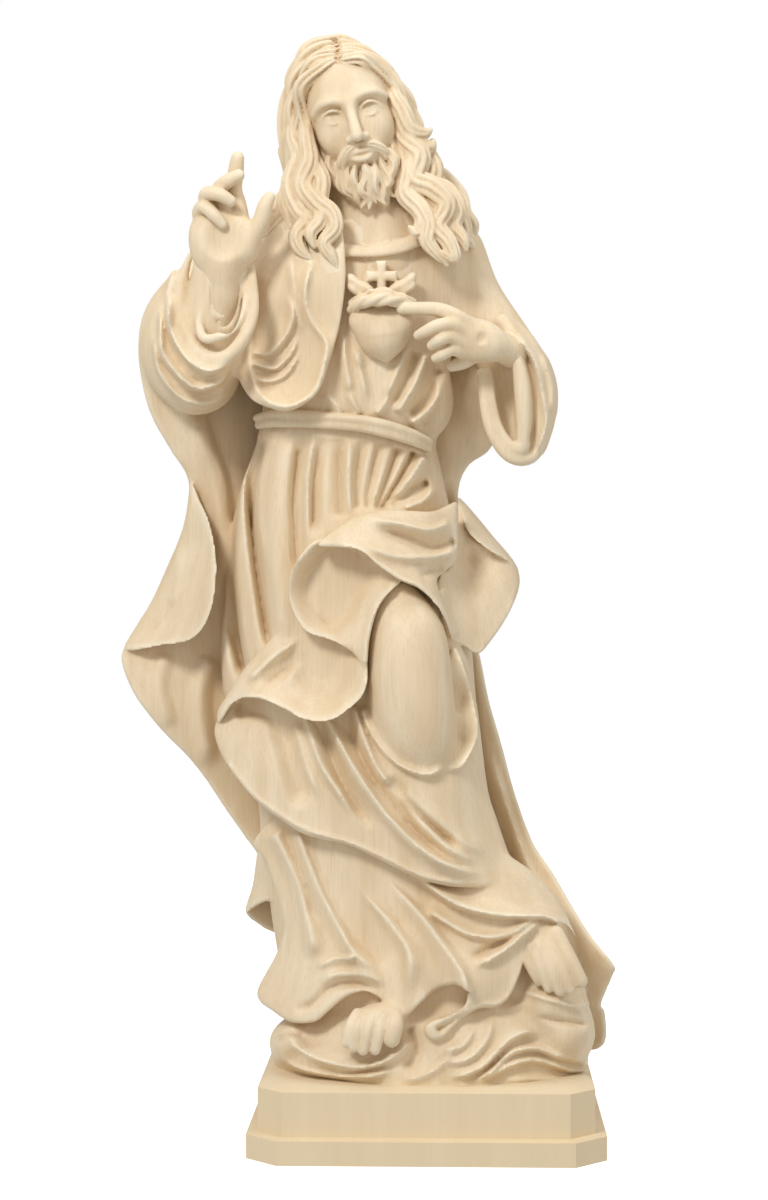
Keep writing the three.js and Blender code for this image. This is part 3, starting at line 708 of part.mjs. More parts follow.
// Clay: signed distances on a grid, negative in the material, shaped by the functions of this class.
class Clay {
  constructor(lo, hi, step) {
    this.step = step;
    this.lo = lo.map((c) => Math.floor(c / step) * step);
    this.n = hi.map((c, i) => Math.ceil((c - this.lo[i]) / step) + 1);
    this.v = new Float32Array(this.n[0] * this.n[1] * this.n[2]).fill(FAR);
  }

  each(lo, hi, use) {
    const [x, y, z] = [0, 1, 2].map((i) => [
      Math.max(0, Math.floor((lo[i] - this.lo[i]) / this.step)),
      Math.min(this.n[i] - 1, Math.ceil((hi[i] - this.lo[i]) / this.step)),
    ]);
    for (let k = z[0]; k <= z[1]; k++)
      for (let i = x[0]; i <= x[1]; i++) {
        const column = {};
        for (let j = y[0]; j <= y[1]; j++)
          use(this.lo[0] + i * this.step, this.lo[1] + j * this.step, this.lo[2] + k * this.step,
            (k * this.n[0] + i) * this.n[1] + j, column);
      }
  }

  merge(lo, hi, distance, blend, cut = false) {
    const m = blend + 3 * this.step;
    this.each(lo.map((c) => c - m), hi.map((c) => c + m), (x, y, z, at, column) => {
      const d = distance(x, y, z, column);
      this.v[at] = cut ? cutAway(this.v[at], d, blend) : joined(this.v[at], d, blend);
    });
  }

  // Round bar through [x, y, z, r] points.
  tube(points, blend = 2, cut = false) {
    const line = curve(points, 5);
    const parts = segments(line, 3);
    const reach = most(line, 3);
    this.merge([0, 1, 2].map((c) => least(line, c) - reach), [0, 1, 2].map((c) => most(line, c) + reach),
      (x, y, z) => nearest(parts, x, y, z).d, blend, cut);
  }

  // Bar like tube(), its surface fluted by gouge grooves that wind slowly along it: a lock of hair.
  lock(points, grooves, depth, twist, blend = 1) {
    const line = curve(points, 6);
    const parts = segments(line, 3);
    const reach = most(line, 3);
    const along = lengths(line, 3);
    this.merge([0, 1, 2].map((c) => least(line, c) - reach), [0, 1, 2].map((c) => most(line, c) + reach),
      (x, y, z) => {
      const { d, t, i } = nearest(parts, x, y, z);
      if (d > 3) return d;
      const [a, b] = [line[i - 1], line[i]];
      const run = along[i] - along[i - 1] + 1e-9;
      const off = [x - a[0] - t * (b[0] - a[0]), y - a[1] - t * (b[1] - a[1]),
        z - a[2] - t * (b[2] - a[2])];
      const side = (off[0] * (b[2] - a[2]) - off[2] * (b[0] - a[0])) / run;
      const angle = Math.atan2(side, -off[1]);
      const radius = a[3] + t * (b[3] - a[3]);
      return d + radius * depth * (1
        - Math.abs(Math.cos(grooves * 0.5 * angle + twist * (along[i - 1] + t * run))));
    }, blend);
  }

  // Ellipsoid with three radii, rolled by degrees in the front plane.
  ball(centre, radii, roll = 0, blend = 3, cut = false) {
    const reach = Math.max(...radii);
    const [c, s] = [Math.cos((roll * Math.PI) / 180), Math.sin((roll * Math.PI) / 180)];
    this.merge(centre.map((v) => v - reach), centre.map((v) => v + reach), (x, y, z) => {
      const [dx, dy, dz] = [x - centre[0], y - centre[1], z - centre[2]];
      const p = [dx * c + dz * s, dy, dz * c - dx * s];
      const share = Math.hypot(...p.map((v, i) => v / radii[i]));
      return (share * (share - 1)) / (Math.hypot(...p.map((v, i) => v / radii[i] ** 2)) + 1e-9);
    }, blend, cut);
  }

  // Locks side by side, each a share of the way from the first to the last and swayed by a sine.
  tresses(first, last, count, grooves, depth, wave, blend = 1) {
    for (let k = 0; k < count; k++) {
      const points = first.map((p, j) => p.map((c, m) => {
        const sway = m === 0 ? Math.sin(SWAY[0] * j + SWAY[1] * k) : m === 1
          ? Math.cos(SWAY[0] * j + SWAY[1] * k) / 2 : 0;
        return c + ((last[j][m] - c) * k) / Math.max(count - 1, 1) + (j ? wave * sway : 0);
      }));
      this.lock(points, grooves, depth, TRESS_TWIST, blend);
    }
  }

  // Body of elliptical sections: rows of [z, x, half width, y, half depth].
  // Strokes move its front and its back, one giving way to the other over SIDE mm.
  loft(rows, folds = [], blend = 3, back = []) {
    const line = curve(rows, 8).sort((a, b) => a[0] - b[0]);
    const [low, high] = [least(line, 0), most(line, 0)];
    const lo = [Math.min(...line.map((r) => r[1] - r[2])), Math.min(...line.map((r) => r[3] - r[4])),
      low];
    const hi = [Math.max(...line.map((r) => r[1] + r[2])), Math.max(...line.map((r) => r[3] + r[4])),
      high];
    const [front, rear] = [folds.map(stroke), back.map(stroke)];
    this.merge(lo, hi, (x, y, z, column) => {
      if (!column.row) {
        const at = Math.max(1, line.findIndex((r) => r[0] > z));
        const [a, b] = z < high ? [line[at - 1], line[at]] : line.slice(-2);
        const t = clamp01((z - a[0]) / (b[0] - a[0] + 1e-9));
        column.row = [1, 2, 3, 4].map((c) => a[c] + t * (b[c] - a[c]));
        column.folds = [total(front, x, z), total(rear, x, z)];
      }
      const [cx, rx, cy, ry] = column.row;
      const d = (Math.hypot((x - cx) / rx, (y - cy) / ry) - 1) * Math.min(rx, ry);
      const share = smooth(clamp01((cy - y) / SIDE + 0.5));
      return within(within(d - share * column.folds[0] - (1 - share) * column.folds[1], z - high, 2),
        low - z, 2);
    }, blend);
  }

  // Cloth inside an outline of [x, y, z] points, with more points inside it, a thickness, and strokes.
  // Over BLOCK mm it is a block behind its face, its sides drawn in towards the back.
  sheet(outline, inner, thick, folds = [], blend = 2) {
    const all = [...outline, ...inner];
    const depth = plate(all);
    const strokes = folds.map(stroke);
    const edge = outlineDistance(outline);
    const face = (x, z) => depth(x, z) - total(strokes, x, z);
    this.merge([0, 1, 2].map((c) => least(all, c) - (c === 1 ? ROOM : 0)),
      [0, 1, 2].map((c) => most(all, c) + (c === 1 ? thick + ROOM : 0)), (x, y, z, column) => {
      if (!column.at) {
        const y0 = face(x, z);
        const slope = Math.hypot(1, face(x + 0.5, z) - face(x - 0.5, z),
          face(x, z + 0.5) - face(x, z - 0.5));
        column.at = [y0, Math.max(1 / slope, 0.33), edge(x, z)];
      }
      const [y0, lean, rim] = column.at;
      const block = thick > BLOCK;
      const across = block ? Math.max((y0 - y) * lean, y - y0 - thick)
        : Math.abs(y - y0 - thick / 2 / lean) * lean - thick / 2;
      return within(across, rim + (block ? DRAFT * Math.max(0, y - y0 - BLOCK_EDGE) : 0),
        Math.min(thick, 3));
    }, blend);
  }

  // Strokes over whatever is there, in front of a depth.
  relief(folds, deepest) {
    for (const fold of folds) {
      const f = stroke(fold);
      const line = curve(fold[0], 3);
      this.each([least(line, 0) - fold[1], FRONT, least(line, 1) - fold[1]],
        [most(line, 0) + fold[1], deepest + FADE / 2, most(line, 1) + fold[1]], (x, y, z, at, column) => {
        column.add ??= f(x, z);
        this.v[at] -= column.add * smooth(clamp01((deepest - y) / FADE + 0.5));
      });
    }
  }

  // Rows of a tool's name and its inputs.
  // A row that starts with "face" or "pair" is drawn upright on the head and leaned with it.
  carve(rows) {
    for (const [tool, ...rest] of rows) {
      if (tool !== "face" && tool !== "pair") {
        this[tool](...rest);
        continue;
      }
      const [kind, points, ...more] = rest;
      for (const side of tool === "face" ? [1] : [1, -1]) {
        const lean = ([u, v, w, ...r]) => {
          const [c, s] = [Math.cos((HEAD_LEAN * Math.PI) / 180), Math.sin((HEAD_LEAN * Math.PI) / 180)];
          return [HEAD_CENTRE[0] + side * u * c - w * s, HEAD_CENTRE[1] + v,
            HEAD_CENTRE[2] + side * u * s + w * c, ...r];
        };
        if (kind === "ball") this.ball(lean(points), more[0], HEAD_LEAN + side * (more[1] ?? 0),
          ...more.slice(2));
        else if (kind === "tresses") this.tresses(points.map(lean), more[0].map(lean), ...more.slice(1));
        else this[kind](points.map(lean), ...more);
      }
    }
    return this;
  }

  // Marching cubes: shared positions and triangles, facing outwards.
  skin() {
    const { n, v, step, lo } = this;
    for (let at = 0; at < v.length; at++) {
      const [j, i, k] = [at % n[1], Math.floor(at / n[1]) % n[0], Math.floor(at / n[1] / n[0])];
      const rim = i * j * k === 0 || i === n[0] - 1 || j === n[1] - 1 || k === n[2] - 1;
      if (rim) v[at] = Math.max(v[at], step / 4);
    }
    const corner = [[0, 0, 0], [1, 0, 0], [1, 1, 0], [0, 1, 0], [0, 0, 1], [1, 0, 1], [1, 1, 1],
      [0, 1, 1]];
    const ends = [[0, 1], [1, 2], [2, 3], [3, 0], [4, 5], [5, 6], [6, 7], [7, 4], [0, 4], [1, 5], [2, 6],
      [3, 7]];
    const jump = corner.map(([a, b, c]) => (c * n[0] + a) * n[1] + b);
    const shared = new Map();
    const positions = [];
    const triangles = [];
    const vertex = (i, j, k, base, e) => {
      const [p, q] = ends[e];
      const [a, b] = jump[p] < jump[q] ? [p, q] : [q, p];
      const key = (base + jump[a]) * 3 + (corner[a][0] !== corner[b][0] ? 0
        : corner[a][1] !== corner[b][1] ? 1 : 2);
      if (!shared.has(key)) {
        const [va, vb] = [v[base + jump[a]], v[base + jump[b]]];
        const t = Math.min(0.95, Math.max(0.05, va / (va - vb)));
        shared.set(key, positions.length / 3);
        [i, j, k].forEach((at, m) => positions.push(lo[m]
          + step * (at + corner[a][m] + t * (corner[b][m] - corner[a][m]))));
      }
      return shared.get(key);
    };
    for (let k = 0; k < n[2] - 1; k++)
      for (let i = 0; i < n[0] - 1; i++)
        for (let j = 0; j < n[1] - 1; j++) {
          const base = (k * n[0] + i) * n[1] + j;
          let kind = 0;
          for (let bit = 0; bit < 8; bit++) if (v[base + jump[bit]] < 0) kind |= 1 << bit;
          if (!edgeTable[kind]) continue;
          for (let t = kind * 16; triTable[t] !== -1; t += 3)
            triangles.push([0, 2, 1].map((m) => vertex(i, j, k, base, triTable[t + m])));
        }
    return { positions, triangles };
  }
}

// Fewer triangles: edges are drawn together where the surface moves least, until the count is met.
function thinned({ positions, triangles }, count, weight) {
  const p = Float64Array.from(positions);
  const size = p.length / 3;
  const q = new Float64Array(size * 10);
  const faces = Int32Array.from(triangles.flat());
  const alive = new Uint8Array(triangles.length).fill(1);
  const around = Array.from({ length: size }, () => []);
  const stamp = new Int32Array(size);
  const gone = new Uint8Array(size);
  const n = new Float64Array(3);
  const m = new Float64Array(10);
  const spot = new Float64Array(3);
  const best = new Float64Array(3);

  // Normal of a face into n, with vertex v at spot where v isn't -1; gives its length.
  function normal(face, v) {
    const c = [];
    for (let k = 0; k < 3; k++) {
      const at = faces[face * 3 + k];
      if (at === v) c.push(best[0], best[1], best[2]);
      else c.push(p[at * 3], p[at * 3 + 1], p[at * 3 + 2]);
    }
    const [ux, uy, uz, vx, vy, vz] = [c[3] - c[0], c[4] - c[1], c[5] - c[2], c[6] - c[0], c[7] - c[1],
      c[8] - c[2]];
    n[0] = uy * vz - uz * vy;
    n[1] = uz * vx - ux * vz;
    n[2] = ux * vy - uy * vx;
    return Math.sqrt(n[0] * n[0] + n[1] * n[1] + n[2] * n[2]);
  }
  for (let f = 0; f < triangles.length; f++) {
    const area = normal(f, -1) + 1e-12;
    const [a, b, c] = [n[0] / area, n[1] / area, n[2] / area];
    const first = faces[f * 3] * 3;
    const d = -(a * p[first] + b * p[first + 1] + c * p[first + 2]);
    const flat = [a * a, a * b, a * c, a * d, b * b, b * c, b * d, c * c, c * d, d * d];
    for (let k = 0; k < 3; k++) {
      const v = faces[f * 3 + k];
      const w = area * weight(p[v * 3], p[v * 3 + 1], p[v * 3 + 2]);
      for (let e = 0; e < 10; e++) q[v * 10 + e] += w * flat[e];
      around[v].push(f);
    }
  }
  function error(x, y, z) {
    return m[0] * x * x + m[4] * y * y + m[7] * z * z + m[9]
      + 2 * (m[1] * x * y + m[2] * x * z + m[5] * y * z + m[3] * x + m[6] * y + m[8] * z);
  }
  // Cost of drawing a and b together, and into best where they meet.
  function meeting(a, b) {
    for (let k = 0; k < 10; k++) m[k] = q[a * 10 + k] + q[b * 10 + k];
    const [ax, ay, az, bx, by, bz] = [p[a * 3], p[a * 3 + 1], p[a * 3 + 2], p[b * 3], p[b * 3 + 1],
      p[b * 3 + 2]];
    const length2 = (ax - bx) ** 2 + (ay - by) ** 2 + (az - bz) ** 2;
    let cost = Infinity;
    const offer = (x, y, z) => {
      const e = error(x, y, z);
      if (e < cost) [cost, best[0], best[1], best[2]] = [e, x, y, z];
    };
    offer(ax, ay, az);
    offer(bx, by, bz);
    const [mx, my, mz] = [(ax + bx) / 2, (ay + by) / 2, (az + bz) / 2];
    offer(mx, my, mz);
    const [k11, k12, k22] = [m[4] * m[7] - m[5] * m[5], m[2] * m[5] - m[1] * m[7],
      m[1] * m[5] - m[2] * m[4]];
    const det = m[0] * k11 + m[1] * k12 + m[2] * k22;
    if (Math.abs(det) > 1e-9 * (m[0] + m[4] + m[7]) ** 3) {
      const [k23, k33, k44] = [m[0] * m[7] - m[2] * m[2], m[1] * m[2] - m[0] * m[5],
        m[0] * m[4] - m[1] * m[1]];
      spot[0] = -(k11 * m[3] + k12 * m[6] + k22 * m[8]) / det;
      spot[1] = -(k12 * m[3] + k23 * m[6] + k33 * m[8]) / det;
      spot[2] = -(k22 * m[3] + k33 * m[6] + k44 * m[8]) / det;
      if ((spot[0] - mx) ** 2 + (spot[1] - my) ** 2 + (spot[2] - mz) ** 2 < 4 * length2) offer(spot[0],
        spot[1], spot[2]);
    }
    return cost + 1e-4 * length2;
  }
  // Queue of edges, the cheapest first.
  const heap = [];
  function push(a, b) {
    const edge = { cost: meeting(a, b), a, b, sa: stamp[a], sb: stamp[b] };
    let i = heap.length;
    heap.push(edge);
    while (i > 0) {
      const up = (i - 1) >> 1;
      if (heap[up].cost <= edge.cost) break;
      heap[i] = heap[up];
      i = up;
    }
    heap[i] = edge;
  }
  function pop() {
    const top = heap[0];
    const last = heap.pop();
    if (!heap.length) return top;
    let i = 0;
    for (;;) {
      let c = 2 * i + 1;
      if (c >= heap.length) break;
      if (c + 1 < heap.length && heap[c + 1].cost < heap[c].cost) c++;
      if (heap[c].cost >= last.cost) break;
      heap[i] = heap[c];
      i = c;
    }
    heap[i] = last;
    return top;
  }
  function neighbours(v) {
    const out = [];
    for (const f of around[v])
      for (let k = 0; k < 3; k++) {
        const x = faces[f * 3 + k];
        if (x !== v && !out.includes(x)) out.push(x);
      }
    return out;
  }
  const holds = (f, v) => faces[f * 3] === v || faces[f * 3 + 1] === v || faces[f * 3 + 2] === v;
  function turns(v, other) {
    for (const f of around[v]) {
      if (holds(f, other)) continue;
      const before = normal(f, -1);
      const [x, y, z] = n;
      const after = normal(f, v);
      if (after < 1e-3 || x * n[0] + y * n[1] + z * n[2] < 0.3 * before * after) return true;
    }
    return false;
  }
  for (let f = 0; f < triangles.length; f++)
    for (let k = 0; k < 3; k++) {
      const [a, b] = [faces[f * 3 + k], faces[f * 3 + ((k + 1) % 3)]];
      if (a < b) push(a, b);
    }
  let left = triangles.length;
  while (left > count && heap.length) {
    const { a, b, sa, sb } = pop();
    if (gone[a] || gone[b] || stamp[a] !== sa || stamp[b] !== sb) continue;
    const near = neighbours(b);
    if (neighbours(a).filter((x) => near.includes(x)).length !== 2) continue;
    meeting(a, b);
    if (turns(a, b) || turns(b, a)) continue;
    for (const f of around[b]) {
      if (holds(f, a)) {
        alive[f] = 0;
        left--;
        for (let k = 0; k < 3; k++) {
          const x = faces[f * 3 + k];
          if (x !== b) around[x] = around[x].filter((y) => y !== f);
        }
      } else {
        for (let k = 0; k < 3; k++) if (faces[f * 3 + k] === b) faces[f * 3 + k] = a;
        around[a].push(f);
      }
    }
    gone[b] = 1;
    around[b] = [];
    p.set(best, a * 3);
    for (let k = 0; k < 10; k++) q[a * 10 + k] = m[k];
    stamp[a]++;
    for (const x of neighbours(a)) push(a, x);
  }
  const used = new Map();
  const out = { positions: [], triangles: [] };
  for (let f = 0; f < triangles.length; f++) {
    if (!alive[f]) continue;
    out.triangles.push([0, 1, 2].map((k) => {
      const v = faces[f * 3 + k];
      if (!used.has(v)) {
        used.set(v, used.size);
        out.positions.push(p[v * 3], p[v * 3 + 1], p[v * 3 + 2]);
      }
      return used.get(v);
    }));
  }
  return out;
}

// One solid: clay pieces joined, thinned, placed, and set on the plinth.
const manifold = await Module();
manifold.setup();

function solid({ positions, triangles }) {
  const mesh = new manifold.Mesh({
    numProp: 3,
    vertProperties: Float32Array.from(positions),
    triVerts: Uint32Array.from(triangles.flat()),
  });
  mesh.merge();
  return manifold.Manifold.ofMesh(mesh);
}

function surface(body) {
  const mesh = body.getMesh();
  const triangles = [];
  for (let i = 0; i < mesh.triVerts.length; i += 3) triangles.push([...mesh.triVerts.slice(i, i + 3)]);
  const positions = [];
  for (let i = 0; i < mesh.vertProperties.length; i += mesh.numProp) {
    positions.push(...mesh.vertProperties.slice(i, i + 3));
  }
  return { positions, triangles };
}

// From the drawn front to real millimetres on the plinth.
function placed(positions) {
  const size = (STATUE_HEIGHT - PLINTH_TOP) / (DRAWN.height - DRAWN.foot);
  const out = [];
  for (let i = 0; i < positions.length; i += 3) {
    const y = positions[i + 1];
    const spread = (y - EYE[1]) / -EYE[1];
    const x = EYE[0] + (positions[i] - EYE[0]) * spread;
    const z = EYE[2] + (positions[i + 2] - EYE[2]) * spread;
    out.push(x * size, y * size, PLINTH_TOP + (z - DRAWN.foot) * size);
  }
  return out;
}

// Eight-sided rings of [z, half width, half depth, chamfer], joined into a closed block.
function block(rings) {
  const positions = [];
  const triangles = [];
  for (const [z, w, d, c] of rings) {
    const ring = [[w, c - d], [w, d - c], [w - c, d], [c - w, d], [-w, d - c], [-w, c - d], [c - w, -d],
      [w - c, -d]];
    for (const [x, y] of ring) positions.push(x, y, z);
  }
  const last = (rings.length - 1) * 8;
  for (let i = 0; i < 8; i++) {
    for (let k = 0; k < last; k += 8) {
      const [a, b] = [k + i, k + ((i + 1) % 8)];
      triangles.push([a, b, b + 8], [a, b + 8, a + 8]);
    }
    if (i > 0 && i < 7) triangles.push([0, i + 1, i], [last, last + i, last + i + 1]);
  }
  return { positions, triangles };
}

const W = PLINTH_WIDTH / 2;
const D = PLINTH_DEPTH / 2;
const step = LOWER_TIER + LEDGE_RISE;
const plinth = solid(block([
  [0, W, D, PLINTH_CHAMFER],
  [LOWER_TIER, W, D, PLINTH_CHAMFER],
  [step, W - LEDGE, D - LEDGE, UPPER_CHAMFER],
  [step + UPPER_TIER, W - LEDGE, D - LEDGE, UPPER_CHAMFER],
  [PLINTH_TOP, W - LEDGE - TOP_BEVEL[0], D - LEDGE - TOP_BEVEL[0], UPPER_CHAMFER - TOP_BEVEL_CUT],
]));

// Blocks of clay: low corner, high corner, grid step and the rows that carve it.
const BLOCKS = [
  [[-172, -90, 20], [106, 82, 560], BODY_STEP, BODY],
  [[-96, -52, 446], [36, 50, 608], HEAD_STEP, HEAD],
  [[-136, -68, 440], [-80, -26, 542], HAND_STEP, HAND],
  [[-18, -66, 408], [54, -20, 466], HAND_STEP, POINTING_HAND],
  [[-52, -58, 412], [0, -22, 484], HAND_STEP, HEART],
];
// Where the triangles stay finer than the drapery's: low corner, high corner, how many times finer.
const FINE = [
  [[-96, -90, 462], [20, 0, 620], 5],
  [[-150, -90, 440], [-80, -30, 620], 5],
  [[-150, -90, 400], [80, -40, 620], 4],
];
// How far the figure runs down into the plinth.
const SINK = 3;

function fineness(x, y, z) {
  for (const [lo, hi, times] of FINE) {
    if (x > lo[0] && x < hi[0] && y > lo[1] && y < hi[1] && z > lo[2] && z < hi[2]) return times;
  }
  return 1;
}

const clays = BLOCKS.map(([lo, hi, grid, rows]) => new Clay(lo, hi, grid).carve(rows));
const carving = surface(manifold.Manifold.union(clays.map((clay) => solid(clay.skin()))));
const thin = thinned(carving, TRIANGLES, fineness);
const whole = solid({ positions: placed(thin.positions), triangles: thin.triangles });
const figure = whole.trimByPlane([0, 0, 1], PLINTH_TOP - SINK);
const bodies = figure.add(plinth).decompose().sort((a, b) => b.volume() - a.volume());
const statue = surface(bodies[0]);

const geometry = new THREE.BufferGeometry();
geometry.setAttribute("position", new THREE.Float32BufferAttribute(statue.positions, 3));
geometry.setIndex(statue.triangles.flat());
geometry.computeVertexNormals();
const material = new THREE.MeshStandardMaterial({ name: "lime_wood", color: 0xe1cdaa, roughness: 0.7 });
const mesh = new THREE.Mesh(geometry, material);
mesh.name = "statue";

const group = new THREE.Group();
group.name = "sacred_heart_statue";
group.add(mesh);
export default group;
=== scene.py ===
"""Sacred heart statue: a draped figure on clouds over a stepped plinth, carved from one blank of lime.

Laid out as an add-on and run as a script. The carving's lengths are millimetres, Blender's are metres.
"""
import math

import bpy
import numpy as np
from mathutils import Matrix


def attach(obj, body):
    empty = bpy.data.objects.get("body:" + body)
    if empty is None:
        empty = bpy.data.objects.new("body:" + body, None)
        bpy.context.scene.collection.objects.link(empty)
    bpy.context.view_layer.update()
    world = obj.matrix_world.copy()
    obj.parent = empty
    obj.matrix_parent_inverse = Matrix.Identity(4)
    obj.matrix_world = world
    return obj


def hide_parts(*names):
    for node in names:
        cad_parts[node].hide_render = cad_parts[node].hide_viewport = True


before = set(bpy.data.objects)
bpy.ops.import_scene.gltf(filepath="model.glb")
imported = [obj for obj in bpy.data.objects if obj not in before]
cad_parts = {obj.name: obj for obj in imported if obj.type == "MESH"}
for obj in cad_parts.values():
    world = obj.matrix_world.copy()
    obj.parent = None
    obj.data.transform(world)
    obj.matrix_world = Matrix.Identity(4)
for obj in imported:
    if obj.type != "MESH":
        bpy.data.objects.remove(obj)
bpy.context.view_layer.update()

import openvdb

bl_info = {
    "name": "Carved Sacred Heart Statue",
    "version": (1, 0, 0),
    "blender": (4, 5, 0),
    "location": "View3D > Sidebar > Statue",
    "description": "Carves the lime wood statue on its plinth and sets its stage",
    "category": "Add Mesh",
}

MM = 0.001
# A distance in millimetres past the whole statue.
FAR = 1e3

# The statue is drawn at this height, with its plinth's top at DRAWN_FOOT, as its front is seen from
# EYE: x and z are where a point shows on the plane y = 0, and y is its depth.
DRAWN_HEIGHT = 600
DRAWN_FOOT = 39
EYE = np.array([15, -1300, 290.8])
LENS = 71.65
YAW = math.radians(1.70)
# Edges sharper than this show as edges. Faces up to FLAT over the plinth's top are shaded flat.
SHARP = math.radians(40)
FLAT = 0.05

# The head leans this many degrees towards the viewer's left, about its centre.
HEAD_CENTRE = [-41, -2, 554.5]
HEAD_LEAN = 14.6
# Turn of the sway from one point of a lock to the next, and from one lock to the next, in radians.
SWAY = (2.2, 1.9)
# Twist of the tresses' grooves, in radians a mm.
TRESS_TWIST = 0.03
# Width of the box that tells a recess from a flat.
HOLLOW = 7
# How freely the face of a sheet passes beside the points that it is given.
SLACK = 30
# Roundness of a ridge's crest: nought would be a knife edge.
CREST = 0.02
# Width over which a body's front gives way to its back, and the rounding of its two ends.
SIDE = 12
END = 2
# A sheet thicker than BLOCK is a block: its sides draw in by DRAFT a mm from BLOCK_EDGE behind its face.
BLOCK = 8
BLOCK_EDGE = 4
DRAFT = 0.3
# Room in front of and behind a sheet for its strokes, and the most that its edge is rounded.
ROOM = 14
EDGE = 3
# Least cosine of a face's slope that a sheet's distance is worked out with.
STEEPEST = 0.33
# Relief reaches this far forward, and dies away over FADE about the depth that it is given.
FRONT = -200
FADE = 8

